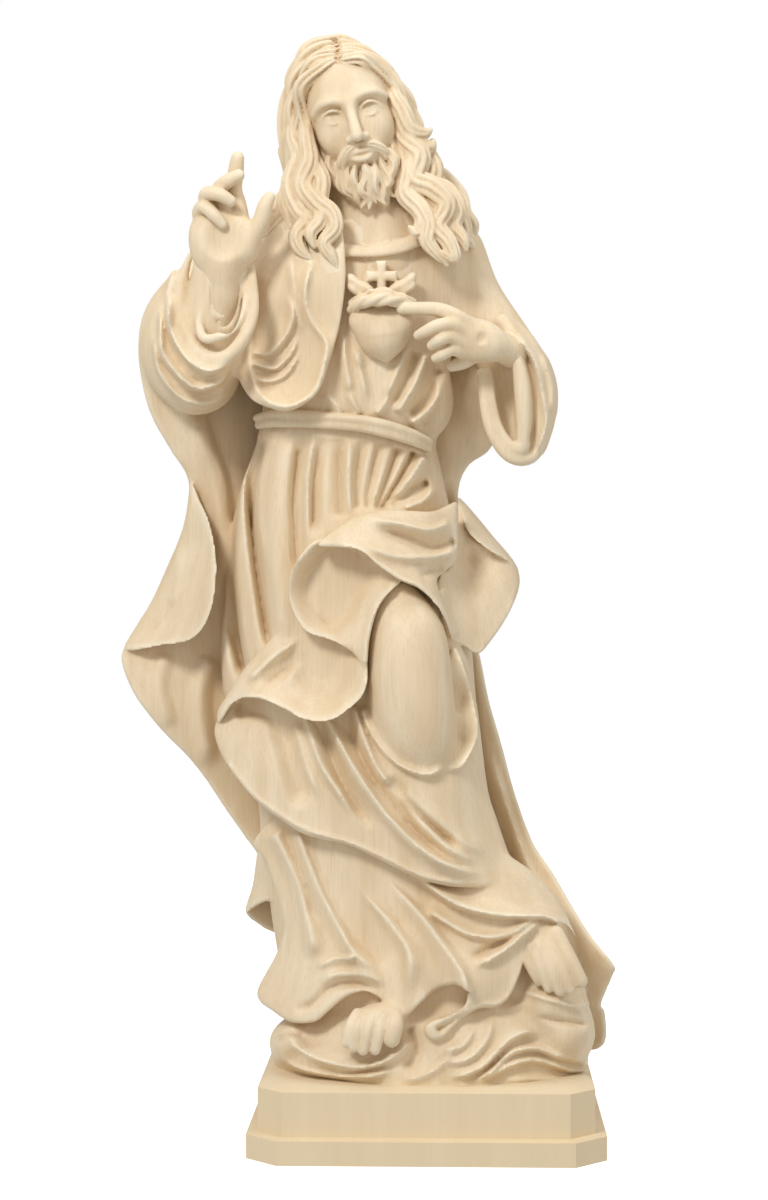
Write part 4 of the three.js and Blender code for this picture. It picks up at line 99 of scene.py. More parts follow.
# Each row below names a function of Clay and gives its inputs. Points are [x, y, z], with a radius in a
# tube or lock, and a loft's sections are [z, x, half width, y, half depth]. A stroke is [[x, z] points,
# width, height, ends, lean, swap].
BODY = [
  # mantle behind
  ["sheet", [
    [-15, 24, 506], [7, 22, 500.5], [25.5, 18, 488], [38, 14, 460.5], [46, 12, 435], [44, 14, 399.5],
    [35, 15, 374], [23, 16, 364.5], [17.5, 16, 353.5],
    [17, 18, 337], [19.5, 20, 307], [23, 20, 280], [28.5, 18, 261], [33.5, 16, 236.5], [40.5, 14, 212],
    [48, 10, 184.5], [57.5, 6, 159], [68, 2, 143], [78.5, -4, 125], [89.5, -10, 107.5],
    [101.5, -16, 92.5], [100.5, -10, 86.5], [94.5, 2, 71.5], [96.5, 6, 66.5], [95, 10, 48.5],
    [72, 30, 46], [1.5, 52, 46], [-53, 48, 46],
    [-75, 36, 67.5], [-78, 24, 103], [-90, 20, 112.5], [-99, 16, 120.5], [-95.5, 18, 134],
    [-92, 18, 149.5], [-100.5, 16, 163], [-110, 12, 176.5], [-121, 8, 193],
    [-130.5, 4, 205], [-143, 0, 217.5], [-152, -2, 228], [-161.5, -2, 242], [-167, 2, 261],
    [-156.5, 8, 277], [-143, 12, 307], [-132, 12, 334.5], [-130.5, 8, 356], [-140, 4, 372.5],
    [-150.5, 0, 391], [-156, -2, 410.5],
    [-156.5, -2, 429.5], [-154.5, 2, 446], [-145.5, 4, 459.5], [-129, 8, 473], [-107.5, 14, 489.5],
    [-90, 16, 496.5], [-69.5, 22, 506], [-42, 26, 509.5],
  ], [
    [-42, 36, 454], [-42, 38, 383.5], [-42, 44, 312.5], [-36.5, 52, 236.5], [-20.5, 56, 171],
    [-4, 58, 105.5],
    [-121, 8, 383.5], [-110, 10, 312.5], [-124, 8, 258], [-107.5, 14, 214.5], [12.5, 6, 383.5],
    [12.5, 6, 356], [23, 22, 193], [50.5, 16, 111],
  ], 5, [
    [[[-36.5, 476], [-31.5, 345], [-15, 209], [7, 57]], 16, -7, [0.3, 0.15]],
    [[[-69.5, 454], [-80.5, 334.5], [-69.5, 203.5], [-42, 57]], 14, -6, [0.3, 0.15]],
    [[[-4, 454], [7, 312.5], [23, 193], [50.5, 57]], 13, -6, [0.3, 0.15]],
    [[[-124, 399.5], [-120.5, 378], [-112, 356], [-109.5, 323.5], [-112, 291]], 9, 7, [0.2, 0.3],
      0.4, True],
    [[[-142.5, 438], [-139, 408], [-128, 378], [-118.5, 345], [-115.5, 312.5]], 9, 5, [0.2, 0.2],
      0, True],
    [[[-118.5, 261], [-124, 236.5], [-118.5, 198.5]], 8, 6, [0.1, 0.2], 0, True],
    [[[-143, 262.5], [-146.5, 242], [-139, 220]], 7, 3, [0.1, 0.2], 0, True],
    [[[33, 212], [42, 182], [56, 144], [80.5, 100.5]], 8, 4, [0.2, 0.2], 0.5],
  ], 1],

  # gown: chest
  ["loft", [[502, -23, 19.5, 0, 22], [489.5, -29, 41.5, 2, 26], [475, -31.5, 53.5, 3, 31],
    [454, -33.5, 53.5, 2, 34], [427, -36.5, 50, 0, 35], [402.5, -39, 50.5, 0, 38], [386, -41, 49, 0, 34],
    [372.5, -44.5, 45.5, 0, 30]], [
    [[[-45.5, 438], [-44.5, 420], [-41, 402.5]], 7, 4, [0.2, 0.2], 0.4],
    [[[-40, 429.5], [-35, 410.5], [-31.5, 398.5]], 6, 4, [0.2, 0.3], -0.4],
    [[[-36.5, 422.5], [-31.5, 408], [-27.5, 394]], 5, -3, [0.2, 0.5], 0],
    [[[-9.5, 430.5], [-18, 410.5], [-23.5, 398.5]], 6, 4, [0.2, 0.3], 0.4],
    [[[-5, 427], [-11.5, 410.5], [-21, 394]], 7, -3.5, [0.1, 0.2], 0, True],
    [[[0, 426], [-7, 408], [-17, 392]], 7, 4.5, [0.1, 0.1], 0.3],
    [[[7, 418], [1.5, 404], [-10.5, 391]], 6, -4, [0.1, 0.1], 0, True],
    [[[5, 415], [5.5, 402.5], [-1, 392.5], [-10.5, 386.5]], 7, 4, [0.2, 0.1], -0.4],
    [[[9, 395.5], [3.5, 390], [-4, 385]], 5, -3, [0.1, 0.2], 0, True],
    [[[-57.5, 404], [-51, 398.5], [-46.5, 392]], 6, 3.5, [0.3, 0.1], 0.4],
    [[[-43, 405], [-40, 398.5], [-36.5, 392]], 5, 3, [0.3, 0.1], 0.4],
    [[[-19.5, 403], [-23.5, 397.5], [-28, 392]], 5, 3, [0.3, 0.1], -0.4],
    [[[20, 459.5], [17, 449.5]], 3, -2, [0.3, 0.3], 0, True],
  ], 4],
  ["ball", [3, -8, 398.5], [10.5, 12, 16], 0, 7],
  # gown: skirt
  ["loft", [[386, -44.5, 45.5, 0, 30], [372.5, -45, 50, 0, 34], [334.5, -46.5, 60, 1, 41],
    [291, -45, 66.5, 2, 45], [236.5, -42, 68.5, 4, 46], [193, -32.5, 62, 4, 46],
    [154.5, -23, 66.5, 2, 47], [116.5, -7, 77.5, 0, 48], [84, 2.5, 81.5, 0, 50], [62, 1.5, 76, 4, 50],
    [46, 1.5, 76, 4, 50]], [
    [[[-94.5, 384.5], [-104, 359], [-107, 334.5], [-107.5, 304.5], [-103, 269], [-97.5, 242]], 9, -8,
      [0.1, 0.1], 0.5, True],
    [[[-90, 380], [-96, 350.5], [-94.5, 318], [-88.5, 277], [-84.5, 258]], 11, -7, [0.05, 0.15],
      -0.55, True],
    [[[-86, 381], [-91.5, 350.5], [-90.5, 326], [-87, 301.5]], 4, 3, [0.1, 0.3]],
    [[[-77.5, 380], [-82, 345], [-81.5, 296], [-78, 258]], 9, 3, [0.1, 0.2], 0, True],
    [[[-69, 381], [-72.5, 351], [-71.5, 319.5], [-69.5, 299]], 10, -6, [0.05, 0.2], -0.5, True],
    [[[-62.5, 378], [-65, 356], [-64.5, 323.5]], 4, 2.5, [0.1, 0.3], 0.3],
    [[[-57.5, 380], [-61.5, 356], [-62.5, 323.5]], 8, -5, [0.05, 0.2], -0.5, True],
    [[[-47, 379], [-48, 360.5], [-47, 334.5]], 9, -5, [0.05, 0.1], 0.4, True],
    [[[-42, 378], [-43, 357.5], [-42, 336.5]], 4, 2.5, [0.1, 0.2]],
    [[[-35.5, 378], [-38.5, 357.5], [-38, 338.5]], 7, -4.5, [0.05, 0.1], -0.4, True],
    [[[-26, 377], [-32, 351], [-32.5, 338.5]], 7, -4.5, [0.05, 0.1], -0.4, True],
    [[[-16.5, 374.5], [-22.5, 356], [-28.5, 338.5]], 7, -5, [0.05, 0.1], -0.5, True],
    [[[-7.5, 372.5], [-16, 356], [-26, 338.5]], 6, -5, [0.05, 0.1], -0.5, True],
    [[[-1, 369.5], [-9.5, 357], [-19.5, 345]], 6, 4, [0.1, 0.2], -0.4],
    [[[1.5, 355], [-8.5, 351], [-20.5, 342]], 6, -3.5, [0.1, 0.1], 0, True],
    [[[3.5, 352], [-2, 345], [-13, 340.5]], 5, 4, [0.1, 0.1]],
    [[[-115.5, 236.5], [-110, 193], [-90, 154.5]], 8, 3, [0.3, 0.2]],
  ], 3, [
    [[[-36.5, 378], [-31.5, 236.5], [-4, 51.5]], 18, 2],
  ]],
  # flat band at the neck
  ["sheet", [
    [-50, -27.5, 486], [-41, -29.5, 484.5], [-28, -31.5, 484.5], [-15, -30.5, 487.5],
    [-5.5, -26.5, 491.5], [3.5, -18.5, 497.5], [7.5, -20.5, 491], [-2, -28.5, 484.5], [-14, -33, 479.5],
    [-28, -34, 477.5], [-41, -32.5, 477.5], [-50, -29.5, 478.5],
  ], [], 12, [], 0.6],
  # belt
  ["tube", [[-93, -9, 390, 2.2], [-84.5, -21, 392, 2.7], [-69.5, -32, 392, 2.7], [-53, -36.5, 390.5, 2.7],
    [-36.5, -37.5, 389, 2.7], [-21.5, -35, 386, 2.7], [-8.5, -29, 381.5, 2.6], [1, -19, 377, 2.2]], 0.6],
  ["tube", [[-92, -9, 386, 2.2], [-84.5, -21, 387.5, 2.7], [-69.5, -31, 387.5, 2.7],
    [-53, -35.5, 386.5, 2.7], [-36.5, -36.5, 385, 2.7], [-21.5, -34, 381.5, 2.7], [-8.5, -28, 377.5, 2.6],
    [0.5, -18, 373.5, 2.2]], 0.6],

  # lower gown over the feet
  ["sheet", [
    [-93.5, -18, 161.5], [-89, -20, 149.5], [-84.5, -24, 138.5], [-79, -28, 119.5], [-78, -28, 111],
    [-82.5, -26, 97.5], [-93, -24, 76], [-83.5, -36, 66], [-73, -44, 60.5], [-61, -50, 61],
    [-53, -52, 67.5], [-44, -53, 74.5], [-34, -53, 77.5], [-24.5, -55, 73],
    [-17.5, -58, 66], [-11, -60, 64.5], [-7.5, -62, 67.5], [-2, -63, 73], [8.5, -64, 80], [16.5, -64, 81],
    [21.5, -64, 77], [20, -64, 70], [11.5, -63, 64.5], [2, -63, 61.5], [-1.5, -63, 57], [2, -63, 51.5],
    [8, -62, 52], [13.5, -61, 58], [20, -59, 64], [28.5, -57, 68.5], [38, -55, 69.5],
    [45, -53, 75.5], [50.5, -53, 88], [54.5, -53, 102], [63.5, -50, 111.5], [75.5, -40, 113.5],
    [88.5, -30, 91.5], [78.5, -24, 114.5], [72, -22, 127.5], [62.5, -24, 138.5], [50.5, -28, 148],
    [28.5, -34, 160], [-15, -38, 171], [-64, -30, 182],
  ], [
    [-53, -32, 144], [-36.5, -46, 100.5], [-15, -44, 127.5], [28.5, -52, 111], [7, -54, 78.5],
    [39.5, -50, 127.5], [-69.5, -40, 84], [-28, -32, 144],
  ], 30, [
    [[[-84.5, 165.5], [-69.5, 135.5], [-63, 105.5], [-60.5, 94]], 12, 9, [0.05, 0.15], -0.3],
    [[[-78, 168], [-67, 134], [-61.5, 111]], 6, -4, [0.1, 0.2], 0, True],
    [[[-71.5, 166.5], [-58.5, 133], [-48, 112.5], [-39, 98], [-22.5, 84]], 10, 10, [0.05, 0.2], 0.3],
    [[[-63, 165.5], [-50.5, 134.5], [-36.5, 112.5], [-22.5, 90.5]], 10, -9, [0.05, 0.15], -0.4, True],
    [[[-57.5, 164.5], [-36.5, 133.5], [-19.5, 114], [-9.5, 96], [-10.5, 73]], 12, 10, [0.05, 0.2], -0.3],
    [[[-47.5, 157], [-23.5, 125.5], [-8.5, 105.5]], 5, -4, [0.1, 0.2], 0, True],
    [[[-36.5, 153.5], [-4, 120], [7, 105.5], [19, 88.5], [22, 77.5]], 14, 9, [0.05, 0], 0.65],
    [[[-60.5, 90.5], [-51, 95], [-39, 96]], 6, 5, [0.2, 0.1], 0.4],
    [[[-59.5, 81], [-50, 87], [-33.5, 86.5], [-21.5, 80.5]], 6, 4, [0.2, 0.2]],
    [[[-75, 66.5], [-63, 70.5], [-53, 79.5], [-39, 82], [-23, 76.5]], 5, -4, [0.2, 0.2], 0, True],
    [[[1.5, 71], [9, 75.5], [16.5, 77]], 6, -9, [0.1, 0.1]],
    [[[4.5, 56], [12.5, 61], [21, 67.5]], 4, -4, [0.1, 0.3], 0, True],
    [[[-13, 146], [12.5, 127], [34.5, 120], [53.5, 119], [68, 117.5], [78.5, 107], [87.5, 92.5]], 9, 10,
      [0.05, 0.1], -0.6],
    [[[-2, 123], [10, 115.5], [23.5, 108.5], [40.5, 107.5], [49.5, 111.5], [58.5, 118.5]], 7, 6,
      [0.1, 0.1], -0.5],
    [[[25.5, 90.5], [39.5, 98.5], [51.5, 108], [61.5, 116.5]], 6, 6, [0.2, 0.1], -0.5],
    [[[23, 96], [38.5, 104], [49.5, 111]], 5, -4, [0.2, 0.2], 0, True],
    [[[20, 64], [28.5, 70], [38, 71], [44.5, 76.5], [50, 88.5], [54, 101.5]], 3, 2, [0.1, 0.1]],
  ], 2],

  # mantle drawn across the hips, lower part
  ["sheet", [
    [-116, -24, 217.5], [-113, -22, 227.5], [-102, -22, 239.5], [-83, -26, 242], [-64, -32, 236.5],
    [-45, -36, 242], [-33.5, -40, 252.5], [-23, -40, 274.5], [-9.5, -40, 291], [7, -38, 280],
    [21, -28, 261], [26.5, -26, 236.5], [29.5, -26, 214.5],
    [33, -26, 187.5], [38.5, -26, 170], [44.5, -28, 152.5], [51, -32, 138], [39.5, -44, 135],
    [28.5, -52, 134.5], [11.5, -57, 135], [-5.5, -58, 139.5], [-23.5, -56, 148], [-41, -53, 156.5],
    [-53, -51, 159.5], [-67, -48, 163], [-79, -44, 170.5], [-94.5, -38, 182.5], [-109.5, -28, 201.5],
  ], [
    [-102, -30, 217.5], [-90, -40, 198.5], [-64, -44, 214.5], [-58.5, -50, 187.5], [-34, -50, 214.5],
    [-15, -58, 176.5], [12.5, -60, 149.5], [-4, -50, 242], [23, -42, 182], [17.5, -46, 193],
  ], 24, [
    [[[-81.5, 235.5], [-72, 196], [-66, 175.5]], 10, -7, [0.1, 0.2]],
    [[[-75, 235.5], [-66.5, 201.5], [-57.5, 182]], 5, 3.5, [0.1, 0.2]],
    [[[-68.5, 234], [-58.5, 202.5], [-47.5, 185], [-39, 172]], 6, 6, [0.05, 0.25], -0.3],
    [[[-61.5, 232], [-48.5, 195.5], [-38, 177.5], [-28, 165.5]], 9, -6, [0.05, 0.2], -0.4, True],
    [[[-59.5, 235.5], [-42, 203], [-29, 183], [-20.5, 172], [-5.5, 157], [12.5, 146], [34, 141]], 7, 8,
      [0.05, 0.2], 0.5],
    [[[-50, 234], [-31.5, 196.5], [-17, 177.5], [-4, 162.5], [16.5, 148]], 8, -6, [0.05, 0.2],
      -0.3, True],
    [[[-41, 235.5], [-30.5, 205.5], [-20.5, 190], [-5.5, 173], [11.5, 156], [31, 146]], 6, 6, [0.05, 0.2],
      0.4],
    [[[-23.5, 194], [-12, 180], [1.5, 168], [19, 154.5]], 9, -7, [0.1, 0.2], -0.4, True],
    [[[-15, 187.5], [-1, 175.5], [15, 162.5], [34, 150.5]], 8, 4, [0.1, 0.2]],
    [[[-36, 233], [-32, 221], [-22.5, 207], [-11, 198.5], [1.5, 196], [11, 201.5]], 6, 6, [0.05, 0.1],
      -0.6],
    [[[-112, 206], [-95.5, 185], [-79, 173], [-66, 165.5], [-42, 158.5], [-23.5, 150.5], [-5, 141.5],
      [12.5, 137.5], [29.5, 137.5]], 3, 2, [0.05, 0.1]],
    [[[-106.5, 231], [-96.5, 233], [-83, 230], [-69.5, 224.5]], 9, -6, [0.1, 0.2]],
  ], 1.5],
  # knee and thigh
  ["tube", [[-16, -42, 288.5, 13], [-11, -46, 269, 21], [-9, -47, 242, 23], [-6, -45, 220, 22],
    [-2, -42, 206, 16]], 4],
  ["ball", [2.5, -30, 284.5], [9, 7, 15], -20, 4],
  ["sheet", [[12.5, -42, 262.5], [16.5, -42, 263.5], [21.5, -42, 249.5], [26.5, -42, 229.5],
    [27.5, -44, 217], [22, -48, 204.5], [17, -50, 198.5], [10, -52, 200.5], [11, -46, 225.5],
    [10.5, -44, 247.5]], [[17.5, -32, 236.5], [19, -36, 214.5]], 20, [
    [[[16.5, 263.5], [21.5, 249.5], [26.5, 229.5], [27, 217], [22, 204.5], [16.5, 199.5]], 3.5, 3,
      [0.1, 0.1], 0.3],
  ], 1],

  # mantle roll: left bowl, its lining running in under the rim above
  ["sheet", [
    [-60.5, -52, 323.5], [-45, -50, 325.5], [-27, -50, 318], [-12, -52, 306], [-15, -59, 300],
    [-21.5, -60, 294], [-27.5, -62, 284.5], [-31.5, -62, 269], [-33.5, -61, 254], [-41, -57, 262.5],
    [-53, -54, 269], [-65, -52, 273], [-71.5, -51, 281], [-75.5, -51, 292], [-75, -53, 303.5],
    [-69.5, -56, 314.5],
  ], [[-56, -34, 304.5], [-50.5, -36, 288], [-36.5, -46, 296], [-42, -34, 312.5], [-64, -38, 296],
    [-27, -46, 304.5]], 9, [
    [[[-57.5, 277.5], [-45, 289], [-30, 303]], 7, -4, [0.1, 0.3], 0, True],
    [[[-33.5, 256], [-32.5, 269], [-28.5, 284.5], [-22.5, 294], [-16, 299.5]], 4, 3, [0, 0.1], -0.4],
    [[[-69.5, 314.5], [-75, 303.5], [-75.5, 292], [-71.5, 281], [-65, 273], [-53, 269], [-41, 262.5]],
      2.5, 2, [0.05, 0.1]],
  ], 1],
  # lower bowl of the roll
  ["sheet", [
    [-70.5, -38, 281], [-53, -42, 273.5], [-39, -48, 264.5], [-33, -60, 257], [-32.5, -62, 247.5],
    [-35.5, -63, 238.5], [-43, -63, 231], [-50.5, -63, 226], [-59.5, -63, 224.5], [-69.5, -61, 226.5],
    [-77.5, -57, 231], [-87, -53, 235.5], [-96.5, -47, 237.5], [-105.5, -38, 234.5],
    [-113.5, -27, 223.5],
    [-114.5, -26, 230], [-109.5, -27, 238.5], [-99.5, -32, 254], [-85.5, -36, 269], [-76, -38, 279],
  ], [[-50.5, -42, 254], [-56, -44, 242], [-69.5, -38, 261], [-80.5, -42, 247.5], [-45, -50, 242]], 9, [
    [[[-99, 246], [-83, 260.5], [-67, 271]], 6, 6, [0.15, 0.3]],
    [[[-90, 244], [-75, 254], [-64, 263.5]], 5, -3.5, [0.2, 0.2], 0, True],
    [[[-64, 269], [-71.5, 254], [-78, 242]], 7, 3, [0.2, 0.2]],
    [[[-108.5, 233], [-96.5, 238], [-85.5, 235.5], [-69.5, 226.5], [-50.5, 226], [-36, 238.5],
      [-33, 251.5]], 3, 2.5, [0.05, 0.05]],
  ], 1],
  # mantle roll: upper part
  ["sheet", [
    [-59.5, -57, 320.5], [-50.5, -55, 329], [-36.5, -49, 337.5], [-20.5, -45, 340], [1, -39, 339],
    [10, -28, 342], [16, -22, 344], [17, -26, 334.5], [16.5, -30, 319], [15, -32, 311.5], [9.5, -36, 306],
    [5.5, -40, 301.5], [8, -44, 291], [12.5, -44, 277.5], [13.5, -40, 269], [9.5, -50, 279],
    [4.5, -56, 288], [-4.5, -60, 297],
    [-15, -62, 301.5], [-26, -62, 309], [-36.5, -62, 317.5], [-47.5, -61, 319.5],
  ], [[-15, -52, 320.5], [1.5, -42, 323.5]], 22, [
    [[[15.5, 318], [1.5, 314.5], [-17.5, 314.5], [-39.5, 323]], 8, 5, [0.05, 0.3], 0.3],
    [[[12.5, 333.5], [1, 329.5], [-15, 332.5], [-35.5, 336]], 7, 5, [0.05, 0.3], -0.5],
    [[[15.5, 323.5], [3, 319], [-13, 325], [-30, 330.5]], 7, -6, [0.05, 0.3], 0, True],
    [[[-47.5, 320.5], [-36.5, 318], [-26, 310], [-15, 303], [-4.5, 298], [4, 289], [10, 279]], 3.5, 3,
      [0.05, 0.1]],
    [[[-4, 303], [1.5, 306], [9, 307]], 5, -3, [0.2, 0.1], 0, True],
  ], 1.5],

  # right flap of the mantle
  ["sheet", [
    [17, 2, 345], [21.5, -4, 329.5], [28, -6, 322], [43, -4, 313.5], [49.5, 0, 306], [49.5, -4, 296],
    [43.5, -12, 282], [34.5, -18, 268.5], [27.5, -24, 261.5], [19.5, -30, 266], [11.5, -38, 270.5],
    [7, -38, 284.5], [5.5, -34, 301.5], [13.5, -26, 311.5], [15.5, -8, 329],
  ], [[31.5, -14, 293.5], [23, 2, 312.5], [21, -22, 285.5], [39.5, -10, 299]], 6, [
    [[[11.5, 270], [20, 266], [27, 261.5], [34.5, 268], [43, 281.5], [48.5, 295]], 3, 2, [0.1, 0.1]],
    [[[7.5, 298.5], [10, 284.5], [15.5, 271]], 7, 5, [0.1, 0.1], 0.4],
  ], 1.5],
  ["sheet", [[16.5, 6, 346.5], [23, 6, 341], [35, 4, 326.5], [46, 2, 313.5], [49.5, -2, 306.5],
    [43, -10, 312], [33, -14, 318], [23, -12, 326.5], [19, -6, 335.5]], [], 5, [
    [[[18.5, 338.5], [22.5, 328], [32, 319], [43, 312.5], [48, 307]], 2.5, 1.5, [0.1, 0.1]],
  ], 1],

  # left flap of the mantle
  ["sheet", [
    [-129, 4, 355], [-124, -2, 345], [-118.5, -12, 332], [-115, -22, 312.5], [-116.5, -28, 291],
    [-122, -26, 276], [-130.5, -20, 268.5], [-145, -10, 266], [-165, 0, 263.5], [-158.5, 8, 277.5],
    [-151, 8, 289.5], [-138.5, 8, 314], [-132, 6, 336.5],
  ], [[-130.5, -6, 296], [-143, 0, 280], [-126.5, 0, 323.5]], 5, [
    [[[-125, 347.5], [-118.5, 332], [-115, 312.5], [-116.5, 291], [-122, 276], [-130.5, 268.5],
      [-145, 266], [-162, 264]], 3, 2.5, [0.1, 0.1]],
    [[[-155.5, 272.5], [-144.5, 279], [-138, 293]], 5, -2.5, [0.2, 0.2], 0, True],
    [[[-137, 323.5], [-136, 301.5], [-141, 284.5]], 7, 2.5, [0.2, 0.2]],
  ], 1],
  # small flap low on the left
  ["sheet", [[-92, 10, 157.5], [-95.5, 12, 134], [-99, 10, 120.5], [-94.5, 0, 123], [-88, -8, 126.5],
    [-79, -16, 127.5], [-83.5, -14, 144], [-89, -8, 154.5]], [], 5, [], 1],

  # mantle over the right shoulder, its pouch at the chest
  ["sheet", [
    [-69.5, -8, 506], [-81.5, -6, 498.5], [-90, -10, 488], [-96.5, -16, 475], [-101, -24, 452],
    [-106, -28, 429.5], [-106, -30, 420.5], [-102, -36, 409.5], [-95.5, -42, 400], [-86, -46, 395.5],
    [-76.5, -47, 393.5], [-67, -48, 397.5], [-59, -48, 405], [-54, -47, 418.5], [-48, -44, 439],
    [-45, -42, 459.5], [-44.5, -40, 475], [-47, -32, 495], [-56, -16, 508.5],
  ], [[-77.5, -34, 476], [-83, -34, 443], [-83, -34, 413.5], [-56, -43, 459.5], [-69.5, -40, 410.5]], 26,
    [
    [[[-96, 435], [-96.5, 417], [-93, 405.5], [-85.5, 398.5], [-76.5, 396.5], [-67.5, 399.5],
      [-60, 406.5], [-56, 420.5], [-55, 431], [-62.5, 442], [-66.5, 453], [-66, 463.5], [-61.5, 479]],
      4, 4, [0.05, 0.1]],
    [[[-96.5, 426], [-87, 425], [-78, 433.5], [-73, 446], [-77.5, 460.5]], 6, 5, [0.1, 0.3], -0.5],
    [[[-96.5, 420.5], [-83.5, 417], [-74.5, 425], [-69.5, 435.5]], 5, 4.5, [0.1, 0.3], -0.5],
    [[[-95.5, 412], [-86, 410], [-76.5, 414.5], [-68.5, 427]], 5, 4, [0.1, 0.3], -0.5],
    [[[-52, 420.5], [-46.5, 440], [-44, 459.5], [-43, 475], [-46, 491]], 3.5, 2.5, [0.1, 0.1]],
    [[[-74.5, 481.5], [-72, 458], [-67, 433.5]], 5, 2.5, [0.2, 0.2], 0.4],
    [[[-90, 475], [-87, 457], [-90, 438]], 9, 3, [0.3, 0.3], 0, True],
  ], 1.5],

  # right arm: sleeve
  ["tube", [[-81.5, 6, 477, 19], [-102, 6, 466, 22], [-124, 4, 445.5, 27], [-129, -2, 427, 28],
    [-126, -8, 414, 22]], 4],
  ["tube", [[-124, -12, 417, 22], [-121, -24, 431, 23], [-115, -34, 451.5, 18], [-112, -38, 472.5, 15.5]],
    5],
  ["tube", [[-126, -36, 484.5, 1], [-131, -34, 475, 2], [-134.5, -37, 460.5, 3.4], [-134.5, -42, 446, 4],
    [-126.5, -50, 427.5, 4.4], [-116.5, -54, 422, 4.4], [-108, -56, 424.5, 4], [-100.5, -55, 433.5, 3.6],
    [-95, -50, 448.5, 3.2], [-96, -44, 469.5, 2.6], [-97.5, -42, 477, 2]], 2.5],
  ["tube", [[-124.5, -42, 467, 1], [-122.5, -47, 455, 2.2], [-124.5, -50, 443, 2.4],
    [-122.5, -54, 434.5, 2.6], [-116.5, -56, 433.5, 2.6], [-107.5, -56, 438, 2.6],
    [-100.5, -53, 447.5, 2.2], [-98, -46, 462.5, 1.8]], 2.5],
  ["ball", [-120.5, -40, 419.5], [14, 12, 10], 0, 3],
  ["ball", [-110, -55, 456.5], [9, 13, 21], 0, 1.5, True],
  ["tube", [[-120, -47, 454, 2], [-114.5, -48, 445.5, 2.4], [-108.5, -47, 448, 2]], 1.5],
  ["relief", [
    [[[-140, 459.5], [-141, 440], [-132.5, 423.5], [-119.5, 415.5], [-106.5, 420.5]], 6, 5, [0.15, 0.2],
      -0.5],
    [[[-145.5, 454], [-145.5, 429.5], [-138.5, 416], [-127, 406.5], [-116, 408], [-107.5, 414]], 6, 6,
      [0.15, 0.15], -0.5],
    [[[-150, 438], [-147.5, 418], [-140, 406], [-130.5, 399], [-117.5, 398.5], [-106.5, 406]], 6, 5,
      [0.15, 0.2], -0.5],
    [[[-137.5, 475], [-142.5, 454], [-140, 438]], 5, 3, [0.2, 0.3], -0.4],
  ], 4],

  # left arm: sleeve
  ["tube", [[11, 4, 477, 21], [23, 2, 454, 18], [40.5, -2, 429, 17], [50.5, -8, 410.5, 18.5],
    [52, -12, 395.5, 18.5], [52, -14, 379, 14]], 4],
  ["tube", [[42, -24, 438, 8], [52.5, -28, 426, 9], [58, -28, 405, 10], [58.5, -28, 386, 9],
    [54.5, -26, 373.5, 6]], 3],
  ["ball", [40.5, -34, 398.5], [8, 16, 26], 8, 1.5, True],
  ["tube", [[29.5, -26, 414, 3], [31.5, -31, 399.5, 3.4], [34, -34, 386, 3.4], [40, -35, 374, 3.6],
    [47.5, -35, 368, 3.8], [56, -32, 368.5, 3.8], [62.5, -28, 375.5, 3]], 2.5],
  ["tube", [[33.5, -26, 415, 2.4], [35, -31, 399.5, 2.6], [38, -34, 386.5, 2.6], [43.5, -36, 377, 2.6],
    [49.5, -37, 372.5, 2.6], [53.5, -36, 375.5, 2.2]], 1.5],
  ["tube", [[41, -30, 442, 4], [47.5, -35, 432.5, 4.6], [51, -37, 418, 5], [52.5, -38, 399.5, 5],
    [53, -37, 383.5, 4.4], [51.5, -36, 373.5, 3]], 3],
  ["relief", [
    [[[48, 435.5], [58.5, 420], [63, 400], [64.5, 386], [59, 369.5]], 5, 4.5, [0.1, 0.1], -0.4],
    [[[51.5, 429.5], [57.5, 410.5], [58.5, 389], [56, 373.5]], 4, -3.5, [0.15, 0.15], 0, True],
    [[[61.5, 426], [67.5, 408], [68, 389]], 4, 3, [0.2, 0.2]],
  ], 2],

  # clouds
  ["loft", [[81, 7, 65.5, 0, 42], [67.5, 7, 79.5, 0, 50], [54, 2, 86, 0, 56], [40.5, 1.5, 84, 0, 60],
    [27, 1.5, 84.5, 0, 62], [18.5, 1.5, 84.5, 0, 62], [9, 1.5, 84.5, 0, 62]], [
    [[[-58.5, 39.5], [-47.5, 35], [-30, 37], [-17, 43.5], [-8.5, 51.5]], 6, 5, [0.2, 0.1], -0.6],
    [[[-71.5, 57], [-66, 42.5], [-53, 30.5], [-31.5, 28.5]], 8, -4, [0.2, 0.3], 0, True],
    [[[-69.5, 51.5], [-59.5, 37], [-42, 30.5], [-15, 34]], 6, 4, [0.2, 0.3]],
    [[[11, 30.5], [28.5, 35.5], [43, 50], [53, 55.5], [64, 54.5]], 7, 7, [0.2, 0.2], -0.5],
    [[[19, 29.5], [34, 37.5], [47, 49], [61.5, 52.5]], 5, -4, [0.2, 0.2], 0, True],
    [[[23, 28.5], [34, 33.5], [45, 44], [58.5, 47], [72, 42.5], [89.5, 39.5]], 6, 6, [0.2, 0.1], -0.5],
    [[[27.5, 26.5], [44, 37], [58.5, 40.5], [78.5, 35], [91.5, 35]], 5, 5, [0.2, 0.1], -0.5],
    [[[9, 38], [23, 41.5], [33, 52.5], [36, 65.5]], 7, 5, [0.2, 0.2], -0.4],
    [[[7, 45], [19, 48], [26.5, 58]], 6, 4, [0.2, 0.2], -0.4],
    [[[39.5, 66.5], [53.5, 71], [68, 66.5], [80, 57], [89.5, 54.5]], 7, 4, [0.2, 0.1], -0.4],
    [[[39.5, 29.5], [61.5, 30.5], [86, 28.5]], 5, 3],
    [[[-10.5, 59], [-6, 46], [-13, 33]], 7, -5, [0.1, 0.2], 0, True],
  ], 4],
  ["ball", [65.5, -16, 70], [21, 36, 22], 0, 8],
  ["ball", [75.5, -22, 54.5], [15, 28, 16], 0, 8],
